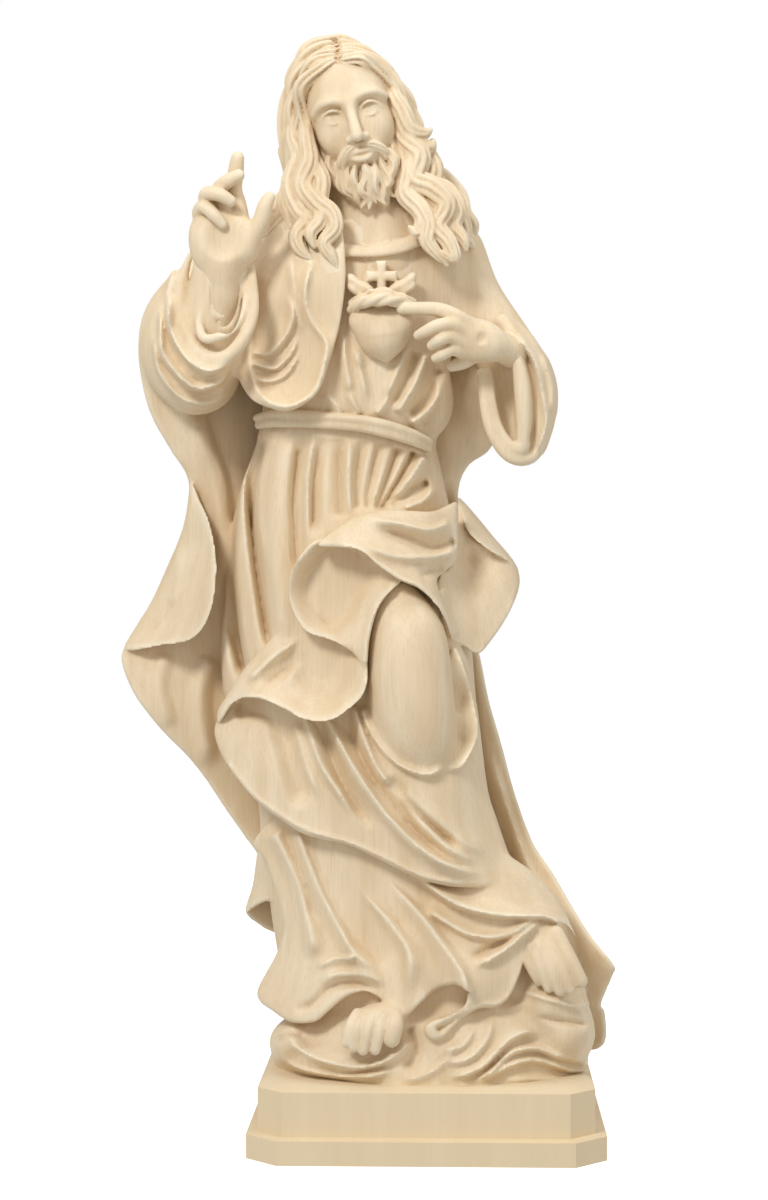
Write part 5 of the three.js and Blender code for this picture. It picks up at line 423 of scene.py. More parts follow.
  ["ball", [-73, -16, 48], [12, 30, 13], 0, 6],
  ["ball", [34, -34, 53.5], [24, 20, 16], 0, 8],
  ["ball", [-47.5, -36, 40.5], [24, 22, 9], 0, 6],
  ["relief", [
    [[[50.5, 78.5], [64, 74], [80.5, 70], [89.5, 73]], 5, 3, [0.2, 0.2], -0.4],
    [[[58.5, 64.5], [72, 62], [88.5, 60]], 4, -2.5, [0.2, 0.2], 0, True],
    [[[-82.5, 49], [-75, 54.5], [-66, 52.5]], 4, -2.5, [0.2, 0.2], 0, True],
    [[[-78, 57], [-71.5, 47], [-57.5, 39.5], [-39, 36.5], [-20.5, 39.5], [-9.5, 47], [-7.5, 57]], 5, 3.5,
      [0.2, 0.2], -0.4],
    [[[-82.5, 43.5], [-71.5, 36], [-54, 31.5], [-33.5, 31], [-15, 36]], 4.5, 3, [0.2, 0.2], -0.4],
    [[[-14, 28.5], [0.5, 33], [11, 41.5], [16.5, 51.5]], 5, 3, [0.2, 0.2], 0.4],
  ], 10],
  # right foot, half hidden by the gown
  ["ball", [-28, -53, 61.5], [17, 14, 9.5], 14, 3],
  ["tube", [[-38, -58, 65.5, 3.2], [-41.5, -64, 59, 3.2], [-44, -65, 49.5, 2.8]], 1],
  ["tube", [[-33.5, -60, 65.5, 3.2], [-37.5, -66, 58, 3.2], [-40, -66, 47, 2.9]], 1],
  ["tube", [[-28.5, -60, 65.5, 3.4], [-32, -67, 58, 3.4], [-35, -67, 45.5, 3]], 1],
  ["tube", [[-23.5, -60, 65.5, 3.6], [-26, -66, 57, 3.6], [-28.5, -66, 46, 3.2]], 1],
  ["tube", [[-18, -58, 65.5, 4.4], [-18, -64, 59, 5], [-19.5, -65, 51.5, 4.6]], 1],
  # left foot on the cloud at the viewer's right
  ["ball", [64, -42, 101.5], [13, 12, 15], 35, 3],
  ["tube", [[69.5, -48, 109, 5], [76.5, -53, 96, 4.8], [83, -53, 84, 4.2]], 1.2],
  ["tube", [[65, -50, 104.5, 4.4], [72, -55, 90.5, 4], [77.5, -54, 79.5, 3.3]], 0.8],
  ["tube", [[60.5, -51, 103.5, 4.2], [67.5, -55, 89, 3.8], [72, -54, 78.5, 3.1]], 0.8],
  ["tube", [[56.5, -50, 102.5, 4.2], [62, -54, 90, 3.6], [66, -53, 80, 2.9]], 0.8],
  ["tube", [[53, -48, 100.5, 4.2], [57, -52, 91, 3.4], [60.5, -51, 83.5, 2.7]], 0.8],
]
HEAD = [
  # skull, face, jaw, neck
  ["face", "ball", [0, 3, 10], [26, 33, 29], 2],
  ["face", "ball", [0, -5, -6], [22.5, 25, 30], 6],
  ["face", "ball", [0, -13, -24], [15, 15, 12], 6],
  ["tube", [[-35.5, 2, 535.5, 17], [-30, 0, 514, 18.5], [-26, -4, 495, 21], [-23.5, -6, 475, 24]], 6],
  ["pair", "tube", [[-3, -28.8, 7.8, 1.4], [-8, -29.4, 10, 1.9], [-15, -26.4, 10, 1.9],
    [-20, -21, 6, 1.4]], 6],
  ["pair", "ball", [10.2, -32.5, 2.4], [7.5, 5, 4.8], -6, 4, True],
  ["pair", "ball", [10.4, -21.4, 2.2], [6.4, 6.2, 6.2], 0, 0.8],
  ["pair", "ball", [12.5, -19.5, -8], [7, 7, 9], 0, 7],
  ["pair", "tube", [[4.4, -26.2, 1, 0.5], [7.2, -28.4, 4.5, 0.8], [10.8, -29, 5.6, 0.9],
    [14.2, -27, 4.3, 0.8], [16.6, -24.6, 1.4, 0.6]], 0.5],
  ["pair", "tube", [[4.6, -26.2, 0.8, 0.4], [7.6, -28, -1.3, 0.6], [11.4, -28, -1.9, 0.7],
    [16.2, -24.8, 1, 0.5]], 0.5],
  ["pair", "tube", [[5.2, -27.8, 5.2, 0.5], [10.6, -30.2, 7.8, 0.6], [16.4, -26.2, 5.2, 0.5]], 1.2, True],
  ["pair", "ball", [10.6, -28.2, 2.4], [1.5, 1, 1.5], 0, 0.4, True],
  ["face", "tube", [[0, -28.5, 7, 2.6], [0, -32, 0, 2.7], [0, -35.8, -7, 3.1], [0, -37.6, -11, 3.4]],
    3.5],
  ["pair", "ball", [4.1, -33.2, -12.4], [2.6, 3.6, 2.4], 0, 2.6],
  ["pair", "ball", [2.2, -36.2, -14.8], [1.2, 1.7, 0.9], 0, 0.6, True],
  # mouth
  ["face", "ball", [0, -24.5, -20], [11.5, 8.5, 8.5], 4],
  ["face", "tube", [[-7.6, -30.2, -21.2, 0.7], [-4, -32.4, -20.1, 1.4], [-1.2, -33.3, -19.6, 1.5],
    [0, -33.1, -19.9, 1.4], [1.2, -33.3, -19.6, 1.5], [4, -32.4, -20.1, 1.4], [7.6, -30.2, -21.2, 0.7]],
    1],
  ["face", "tube", [[-6.2, -30.8, -22.4, 0.8], [-3, -32.4, -23.6, 1.7], [0, -32.9, -24, 1.8],
    [3, -32.4, -23.6, 1.7], [6.2, -30.8, -22.4, 0.8]], 1],
  # moustache and beard
  ["pair", "lock", [[0.6, -32, -15.4, 1.2], [4, -32.6, -16.4, 2.3], [8, -30.4, -18.4, 2.8],
    [11.8, -27.4, -22, 2.6], [14.6, -24.6, -26.6, 1]], 7, 0.35, 0.2, 1],
  ["pair", "lock", [[1.2, -32.2, -17, 0.8], [4.6, -32.2, -18.2, 1.5], [8.2, -30, -20.4, 2],
    [10.6, -28, -23.4, 2], [12, -26.8, -27.4, 0.9]], 5, 0.35, 0.2, 0.8],
  ["face", "ball", [0, -16, -37], [15, 12.5, 13.5], 4],
  ["pair", "lock", [[23, 2, -6, 3], [22, -6, -17, 4.6], [17, -14, -27, 6], [9, -20, -34, 7],
    [5, -22, -42, 6], [5.5, -22, -50, 3]], 11, 0.12, 0.05, 3],
  ["pair", "tresses", [[1.2, -29.6, -28.6, 1.2], [2.6, -30.4, -34, 2.2], [3.6, -30, -41, 2.6],
    [2.6, -28.6, -46, 2.2], [4.6, -27.4, -51, 0.8]], [[12.5, -25, -24, 1.6], [13.4, -25.4, -31, 2.6],
    [12, -25, -38, 2.8], [9, -24.6, -43, 2.4], [9.4, -23.6, -48, 0.8]], 4, 4, 0.4, 1.7, 0.7],
  ["pair", "tresses", [[14.6, -23.6, -23, 1.6], [15.6, -23, -29, 2.6], [14, -22.6, -36, 2.8],
    [11.4, -22, -42, 2.2], [10.6, -21, -47, 0.8]], [[22.8, -4, -7, 1.6], [23, -9, -14, 2.8],
    [21.4, -14, -22, 3], [18, -17, -30, 2.6], [15.6, -18.6, -36, 0.9]], 4, 4, 0.4, 1.6, 0.7],
  ["face", "lock", [[0, -30.4, -26.4, 1.2], [0, -31.6, -30, 2.2], [1, -31.2, -36, 2.2],
    [-1.2, -29.6, -43, 2], [0.8, -28, -49, 0.8]], 5, 0.35, 0.1, 0.8],
  # back of the head and of the hair
  ["face", "ball", [-4, 13, 10], [31, 28, 31], 2],
  ["tube", [[-45.5, 10, 565.5, 27], [-41, 12, 546.5, 29], [-35.5, 12, 525, 30], [-31.5, 10, 506, 28]], 6],
  ["tube", [[-60.5, 14, 513, 12], [-47.5, 18, 500.5, 14], [-30, 20, 496.5, 15], [-12, 18, 497.5, 14],
    [1.5, 14, 506, 12]], 6],
  ["tresses", [[-47.5, 10, 588.5, 5], [-65, 20, 577.5, 8], [-70.5, 22, 557.5, 8.5], [-70, 22, 535.5, 8.5],
    [-66, 18, 516, 8.5], [-63, 18, 498.5, 6]], [[-44.5, 18, 588.5, 5], [-44.5, 34, 577, 8],
    [-42, 39, 557.5, 8.5], [-39, 39, 535.5, 8.5], [-35.5, 34, 515, 8.5], [-33.5, 30, 494.5, 6]],
    4, 6, 0.25, 1.4, 1.5],
  ["tresses", [[-44.5, 18, 588.5, 5], [-39, 34, 577, 8], [-35.5, 39, 557.5, 8.5], [-31.5, 39, 535.5, 8.5],
    [-28, 34, 515, 8.5], [-26, 30, 494.5, 6]], [[-44.5, 10, 588.5, 5], [-29, 20, 578, 8],
    [-16.5, 22, 561, 8.5], [-9.5, 22, 538, 8.5], [-5, 18, 517, 8.5], [-2, 16, 501, 6]],
    4, 6, 0.25, 1.4, 1.5],
  # hair from the parting, to the viewer's left and right
  ["tresses", [[-50.5, -22, 584.5, 2.6], [-59, -21, 581, 4], [-65.5, -18, 571, 4.6],
    [-68.5, -13, 557.5, 4.8], [-66.5, -12, 542.5, 4.8], [-65, -16, 527, 5]], [[-47.5, 4, 595.5, 4.4],
    [-61, 6, 590, 6.5], [-70.5, 8, 576, 7.2], [-73, 8, 559.5, 7.2], [-72.5, 4, 540, 7],
    [-70, -2, 519.5, 6]], 6, 6, 0.6, 3, 0.4],
  ["tresses", [[-49, -22, 584.5, 2.6], [-39.5, -22, 586, 4.2], [-27.5, -18, 581, 4.8],
    [-20, -13, 568.5, 5], [-14.5, -12, 554, 5], [-10, -14, 542.5, 4.6]], [[-47.5, 4, 595.5, 4.4],
    [-38, 6, 590, 6.5], [-27.5, 8, 577, 7.2], [-16, 8, 561.5, 7.2], [-8, 4, 544.5, 7], [-5, -4, 526, 6]],
    6, 6, 0.6, 3, 0.4],
  ["relief", [
    [[[-51.5, 598], [-49, 591.5], [-48.5, 581.5]], 3.5, -2.4, [0.2, 0.15]],
  ], 8],
  # mass of the falling hair
  ["tube", [[-70, -4, 541, 9], [-67.5, -10, 524, 10], [-67, -17, 508.5, 10], [-64, -25, 495.5, 9],
    [-59.5, -30, 484.5, 6]], 3],
  ["tube", [[-10.5, -4, 541, 9], [-6, -8, 524, 11], [0.5, -15, 508.5, 12], [5.5, -22, 495.5, 11],
    [10, -28, 483.5, 6]], 3],
  # locks on the viewer's left, falling on the chest
  ["lock", [[-69.5, 3, 567.5, 1.5], [-72, -8, 545.5, 5.4], [-68.5, -15, 531.5, 7], [-73, -19, 517, 7],
    [-69.5, -26, 504.5, 6.4], [-65, -31, 497.5, 5.6], [-71, -34, 489.5, 5], [-69, -36, 482, 4],
    [-63, -38, 476.5, 1.2]], 8, 0.28, 0.06, 0.7],
  ["lock", [[-67.5, 0, 565, 1.5], [-66, -16, 544.5, 4.4], [-64, -23, 530.5, 5.6], [-67.5, -26, 517, 6.2],
    [-60.5, -31, 507.5, 6.2], [-52.5, -34, 501.5, 5.6], [-50.5, -37, 493.5, 4.8], [-56, -39, 485.5, 4.2],
    [-52.5, -40, 478.5, 3.4], [-48.5, -40, 471.5, 1]], 8, 0.28, -0.06, 0.7],
  ["lock", [[-65, -12, 544.5, 2.4], [-62.5, -19, 532.5, 4.2], [-58, -25, 520.5, 5.4],
    [-59, -29, 509.5, 5.4], [-58, -35, 498.5, 4.8], [-63.5, -38, 491, 4], [-61.5, -39, 483.5, 1.4]],
    7, 0.28, 0.06, 0.7],
  ["lock", [[-74.5, 2, 535.5, 7], [-71.5, -4, 521.5, 7], [-76, -8, 508.5, 6.4], [-73, -14, 498.5, 5],
    [-77, -15, 491.5, 1.6]], 8, 0.25, -0.06, 0.8],
  # locks on the viewer's right
  ["lock", [[-23, 2, 581.5, 1.5], [-18.5, -14, 566, 4.4], [-14, -17, 557.5, 5.4], [-9.5, -18, 547.5, 5.2],
    [-2, -16, 544.5, 3.6], [2, -14, 547, 1.2]], 7, 0.28, 0.05, 0.7],
  ["lock", [[-19.5, 1, 571.5, 1.5], [-14.5, -15, 552, 5], [-8, -17, 540.5, 5.6], [0.5, -15, 537, 4.4],
    [3, -13, 541, 1.4]], 7, 0.28, -0.05, 0.7],
  ["lock", [[-16.5, 1, 564, 1.5], [-14, -15, 544.5, 5.6], [-4.5, -19, 533, 6.8], [-7.5, -22, 520.5, 7],
    [2.5, -25, 514.5, 7], [10, -28, 505.5, 6.2], [5.5, -32, 494.5, 5.6], [11.5, -36, 485.5, 5],
    [14, -38, 477.5, 4.2], [8.5, -39, 479.5, 2]], 8, 0.28, 0.05, 0.7],
  ["lock", [[-15, -8, 550, 2.6], [-13.5, -15, 538, 5], [-11, -21, 525, 6], [-12, -25, 512.5, 6],
    [-4, -30, 504, 6], [0.5, -34, 495.5, 5.4], [0, -37, 486.5, 4.6], [5, -38, 479.5, 3.4],
    [11, -38, 473, 1]], 8, 0.28, -0.05, 0.7],
  ["lock", [[-4, -8, 537, 6], [2, -13, 526, 7], [1, -16, 517, 7], [10, -17, 512.5, 6.6],
    [15.5, -21, 503, 5.8], [14, -26, 494.5, 5], [19.5, -29, 486.5, 3.6], [21, -30, 481, 1.2]],
    8, 0.28, 0.05, 0.7],
  ["lock", [[-14, -16, 524, 4.8], [-9, -25, 510.5, 5.2], [-3, -32, 499.5, 4.4], [-5.5, -35, 491, 3.2],
    [-9.5, -36, 494, 1.2]], 7, 0.28, -0.05, 0.7],
  # ends of the back hair on the shoulders
  ["lock", [[-70.5, 6, 514, 7], [-78, 4, 508.5, 6], [-82.5, -2, 502, 5], [-88, -6, 500, 4],
    [-90.5, -8, 493.5, 1.4]], 5, 0.4, 0.05, 1],
  ["lock", [[-71.5, 2, 506.5, 5], [-79, -4, 500, 4.6], [-85.5, -8, 493.5, 3], [-89, -10, 489, 1.2]],
    5, 0.4, 0.05, 1],
  ["lock", [[7, 6, 519.5, 7], [15.5, 4, 510.5, 6.4], [19, 0, 501, 5.4], [24.5, -2, 494.5, 4],
    [24.5, -4, 486.5, 1.4]], 5, 0.4, 0.05, 1],
  ["lock", [[12.5, -6, 506, 5], [19.5, -10, 496.5, 4.4], [21, -14, 488, 3.6], [25.5, -14, 482.5, 1.2]],
    5, 0.4, 0.05, 1],
]
HAND = [
  # right hand, raised, palm to the viewer
  ["tube", [[-113.5, -40, 444.5, 9], [-112.5, -42, 454, 10], [-112, -43, 464, 10.8],
    [-111.5, -44, 473.5, 12.4], [-110.5, -45, 481.5, 13]], 6],
  ["ball", [-110.5, -45, 486.5], [18, 9, 17], 0, 4],
  ["ball", [-117.5, -44, 492], [12, 7.5, 12], 0, 4],
  ["ball", [-101.5, -47, 486.5], [9, 8, 13], 14, 5],
  ["ball", [-120, -46, 485.5], [8, 7.5, 13], -10, 6],
  ["ball", [-110.5, -57, 489], [11, 4, 11], 0, 4, True],
  ["tube", [[-102, -43, 496.5, 5.4], [-103.5, -42, 506.5, 4.8], [-105.5, -42, 515, 4.5],
    [-104.5, -42, 524, 4.4], [-103.5, -43, 532, 3.6]], 1.5],
  ["tube", [[-108.5, -43, 497.5, 5], [-112.5, -44, 508.5, 4.4], [-113.5, -47, 515, 4.2],
    [-108.5, -51, 519.5, 4], [-103, -52, 522.5, 3.4]], 1.2],
  ["tube", [[-116, -43, 498.5, 5], [-120.5, -45, 507.5, 4.2], [-120, -50, 512.5, 4.1],
    [-113.5, -54, 512, 3.9], [-107.5, -54, 508.5, 3.3]], 1],
  ["tube", [[-121.5, -43, 494.5, 4.8], [-124.5, -45, 502, 4], [-122, -50, 505.5, 3.8],
    [-116.5, -54, 501, 3.6], [-112, -54, 496, 3]], 1],
  ["tube", [[-100, -47, 481.5, 7], [-94.5, -49, 491, 5.4], [-90.5, -50, 498.5, 4.6],
    [-88.5, -50, 505.5, 4.2], [-86, -49, 510.5, 3.2]], 2],
]
POINTING_HAND = [
  # left hand, its back to the viewer, pointing at the heart
  ["tube", [[46, -34, 426, 9], [41.5, -38, 428, 8.5], [35, -42, 429.5, 8.6]], 3],
  ["ball", [26.5, -45, 432], [16, 8, 12], -8, 4],
  ["ball", [19, -46, 435.5], [9, 7, 9], 0, 4],
  ["tube", [[22, -47, 440, 5.4], [15, -50, 445, 4.5], [7, -50, 448.5, 4.1], [-3, -49, 449.5, 3.7],
    [-14, -46, 449.5, 3.1]], 1.5],
  ["tube", [[20, -49, 435.5, 4.6], [13.5, -54, 440.5, 4], [5.5, -56, 440, 3.6], [-1, -54, 437, 3.2],
    [-5, -50, 435, 2.6]], 1.2],
  ["tube", [[19, -49, 430, 4.4], [12.5, -54, 434, 3.8], [7, -56, 432.5, 3.4], [2.5, -52, 429.5, 2.8]],
    1.2],
  ["tube", [[19, -48, 426, 4], [13.5, -52, 427, 3.4], [8.5, -53, 424.5, 3.1], [4.5, -50, 422.5, 2.5]],
    1.2],
  ["tube", [[27.5, -42, 426, 5], [20, -42, 420.5, 4], [13.5, -40, 418, 3]], 1.5],
  ["ball", [30, -53.5, 433.5], [3, 2.4, 4.2], -20, 1, True],
]
HEART = [
  # heart, thorns, flames and cross
  ["ball", [-31.5, -38, 442], [11.5, 8, 9], -12, 2],
  ["ball", [-17, -38, 442.5], [11, 8, 9], 12, 3],
  ["ball", [-24.5, -38, 436], [14.5, 9, 13], 0, 4],
  ["tube", [[-24, -38, 435, 11], [-23, -38, 428, 6.5], [-22.5, -37, 422, 2]], 4],
  ["ball", [-30, -47.5, 445], [3, 1.6, 1.2], 0, 0.8, True],
  ["lock", [[-41.5, -39, 449, 2.6], [-35.5, -46, 453, 3.8], [-27, -49.5, 454.5, 4], [-18, -48, 454, 3.8],
    [-9, -41, 451, 2.8]], 3, 0.4, 0.35, 0.8],
  ["lock", [[-41.5, -37, 452.5, 2], [-33.5, -42, 456.5, 3], [-23.5, -44, 458, 3.4], [-14, -42, 455.5, 3],
    [-7.5, -37, 453, 2]], 3, 0.4, -0.35, 0.8],
  ["sheet", [
    [-27.5, -38, 454], [-27.5, -38, 459.5], [-27.5, -38, 463.5], [-28, -38, 464.5], [-33, -38, 464],
    [-33.5, -38, 464.5], [-33.5, -38, 469.5], [-33, -38, 470], [-28, -38, 470], [-27.5, -38, 470.5],
    [-28, -38, 475], [-27, -38, 475.5],
    [-23, -38, 475.5], [-22, -38, 475], [-22.5, -38, 470.5], [-22, -38, 470], [-17, -38, 470],
    [-16.5, -38, 469.5], [-16.5, -38, 464.5], [-17, -38, 464], [-22, -38, 464.5], [-22.5, -38, 463.5],
    [-22.5, -38, 459.5], [-22.5, -38, 454],
  ], [], 10, [], 0.4],
  ["ball", [-36, -36, 460], [8.6, 5, 4.6], -24, 0.8],
  ["ball", [-40, -35, 464], [5.6, 4.4, 2.9], -52, 1.5],
  ["ball", [-14, -36, 460.5], [8.6, 5, 4.6], 24, 0.8],
  ["ball", [-10, -35, 464.5], [5.6, 4.4, 2.9], 52, 1.5],
  ["relief", [
    [[[-30.5, 456.5], [-36, 459.5], [-40.5, 462.5], [-42.5, 465.5]], 2.6, -0.9, [0.1, 0.2]],
    [[[-19.5, 457], [-14, 460], [-9.5, 463], [-8, 466]], 2.6, -0.9, [0.1, 0.2]],
  ], -34],
]


def smooth(t):
    """Eases from 0 to 1: 3 t squared less 2 t cubed, for t held between 0 and 1."""
    t = np.clip(t, 0, 1)
    return t * t * (3 - 2 * t)


def joined(a, b, blend):
    """The smaller of two distances, rounded where they meet over a width of blend.

    It is min(a, b) less h squared x blend / 4, where h = 1 - |a - b| / blend, held above 0.
    """
    h = np.maximum(blend - np.abs(a - b), 0) / (blend + 1e-9)
    return np.minimum(a, b) - h * h * blend / 4


def within(a, b, blend):
    """What is in both: the larger of two distances, rounded in the same way."""
    return -joined(-a, -b, blend)


def curve(points, steps, closed=False):
    """Catmull-Rom curve through points, every number of a point interpolated.

    Each span is the cubic through its two ends whose slopes are their neighbours' chords, halved.
    """
    p = np.array(points, float)
    n = len(p)
    spans = np.arange(n if closed else n - 1)
    near = [(spans + k) % n if closed else np.clip(spans + k, 0, n - 1) for k in (-1, 0, 1, 2)]
    a, q, r, s = (p[i][:, None] for i in near)
    t = (np.arange(steps) / steps)[None, :, None]
    out = q + 0.5 * t * (r - a + t * (2 * a - 5 * q + 4 * r - s + t * (3 * q - a - 3 * r + s)))
    out = out.reshape(-1, p.shape[1])
    return out if closed else np.vstack([out, p[-1:]])


def plate(points, x, z):
    """Depth y as a smooth function of x and z through [x, y, z] points.

    It is a plane plus, for each point, a weight times r squared x log r, r being the distance in the
    plane. SLACK on the matrix's diagonal lets the depth pass a little beside the points.
    """
    p = np.array(points, float)
    n = len(p)

    def kernel(dx, dz):
        squared = dx ** 2 + dz ** 2
        return 0.5 * squared * np.log(np.maximum(squared, 1e-9))

    a = np.zeros((n + 3, n + 3))
    a[:n, :n] = kernel(*(p[:, None, c] - p[None, :, c] for c in (0, 2))) + SLACK * np.eye(n)
    a[:n, n:] = np.column_stack([np.ones(n), p[:, 0], p[:, 2]])
    a[n:, :n] = a[:n, n:].T
    w = np.linalg.solve(a, np.append(p[:, 1], [0, 0, 0]))
    y = w[n] + w[n + 1] * x + w[n + 2] * z
    for (u, _, v), weight in zip(p, w):
        y = y + weight * kernel(x - u, z - v)
    return y


def stroke(x, z, points, width, height, ends=(0.25, 0.25), lean=0, swap=False):
    """Height that a stroke adds at x, z, from the distance d to its curve as a share of its width.

    Above nought it is a ridge with a crisp crest, ((1 - root of (d squared + CREST)) over its value
    at d = 0) squared. Below nought it is a rounded hollow, (1 - d squared) squared. Swap exchanges
    the two. Lean narrows the side at the left of its way, or below nought the other side. Ends are
    the shares of its length over which it rises and dies away.
    """
    line = curve(points, 6)
    run = np.hypot(*np.diff(line, axis=0).T)
    along = np.append(0, np.cumsum(run)) / run.sum()
    best = np.full(np.broadcast(x, z).shape, FAR)
    share = np.zeros_like(best)
    steep = np.zeros(best.shape, bool)
    for i, (a, b) in enumerate(zip(line[:-1], line[1:])):
        d = b - a
        t = np.clip(((x - a[0]) * d[0] + (z - a[1]) * d[1]) / (d @ d + 1e-9), 0, 1)
        far = np.hypot(x - a[0] - t * d[0], z - a[1] - t * d[1])
        nearer = far < best
        best = np.where(nearer, far, best)
        share = np.where(nearer, along[i] + t * (along[i + 1] - along[i]), share)
        steep = np.where(nearer, (d[0] * (z - a[1]) - d[1] * (x - a[0])) * lean > 0, steep)
    best = best / width / np.where(steep, 1 - abs(lean), 1)
    fade = smooth(share / (ends[0] + 1e-3)) * smooth((1 - share) / (ends[1] + 1e-3))
    ridge = (np.maximum(0, 1 - np.sqrt(best ** 2 + CREST)) / (1 - math.sqrt(CREST))) ** 2
    return height * fade * (ridge if (height > 0) != swap else np.maximum(0, 1 - best ** 2) ** 2)


def strokes(x, z, folds):
    """Sum of strokes over a plane of x by z, each worked out only where it reaches."""
    out = np.zeros((x.size, z.size), np.float32)
    for fold in folds:
        line = curve(fold[0], 3)
        (x0, z0), (x1, z1) = line.min(0) - fold[1], line.max(0) + fold[1]
        i = slice(*np.searchsorted(x.ravel(), [x0, x1]))
        k = slice(*np.searchsorted(z.ravel(), [z0, z1]))
        if i.start < i.stop and k.start < k.stop:
            out[i, k] += stroke(x.ravel()[i, None], z.ravel()[None, k], *fold)
    return out


def outline_distance(points, x, z):
    """Signed distance in the front plane to a closed curve through points, negative inside it.

    It is the least distance to a segment. A point is inside where a line from it towards +x crosses an
    odd number of segments.
    """
    ring = curve(points, 6, True)[:, [0, 2]]
    best = np.full((x.size, z.size), FAR * FAR)
    inside = np.zeros(best.shape, bool)
    for a, b in zip(ring, np.roll(ring, -1, 0)):
        d = b - a
        t = np.clip(((x - a[0]) * d[0] + (z - a[1]) * d[1]) / (d @ d + 1e-9), 0, 1)
        best = np.minimum(best, (x - a[0] - t * d[0]) ** 2 + (z - a[1] - t * d[1]) ** 2)
        if a[1] != b[1]:
            inside ^= ((b[1] > z) != (a[1] > z)) & (x < d[0] * (z - a[1]) / d[1] + a[0])
    return np.where(inside, -1, 1) * np.sqrt(best)


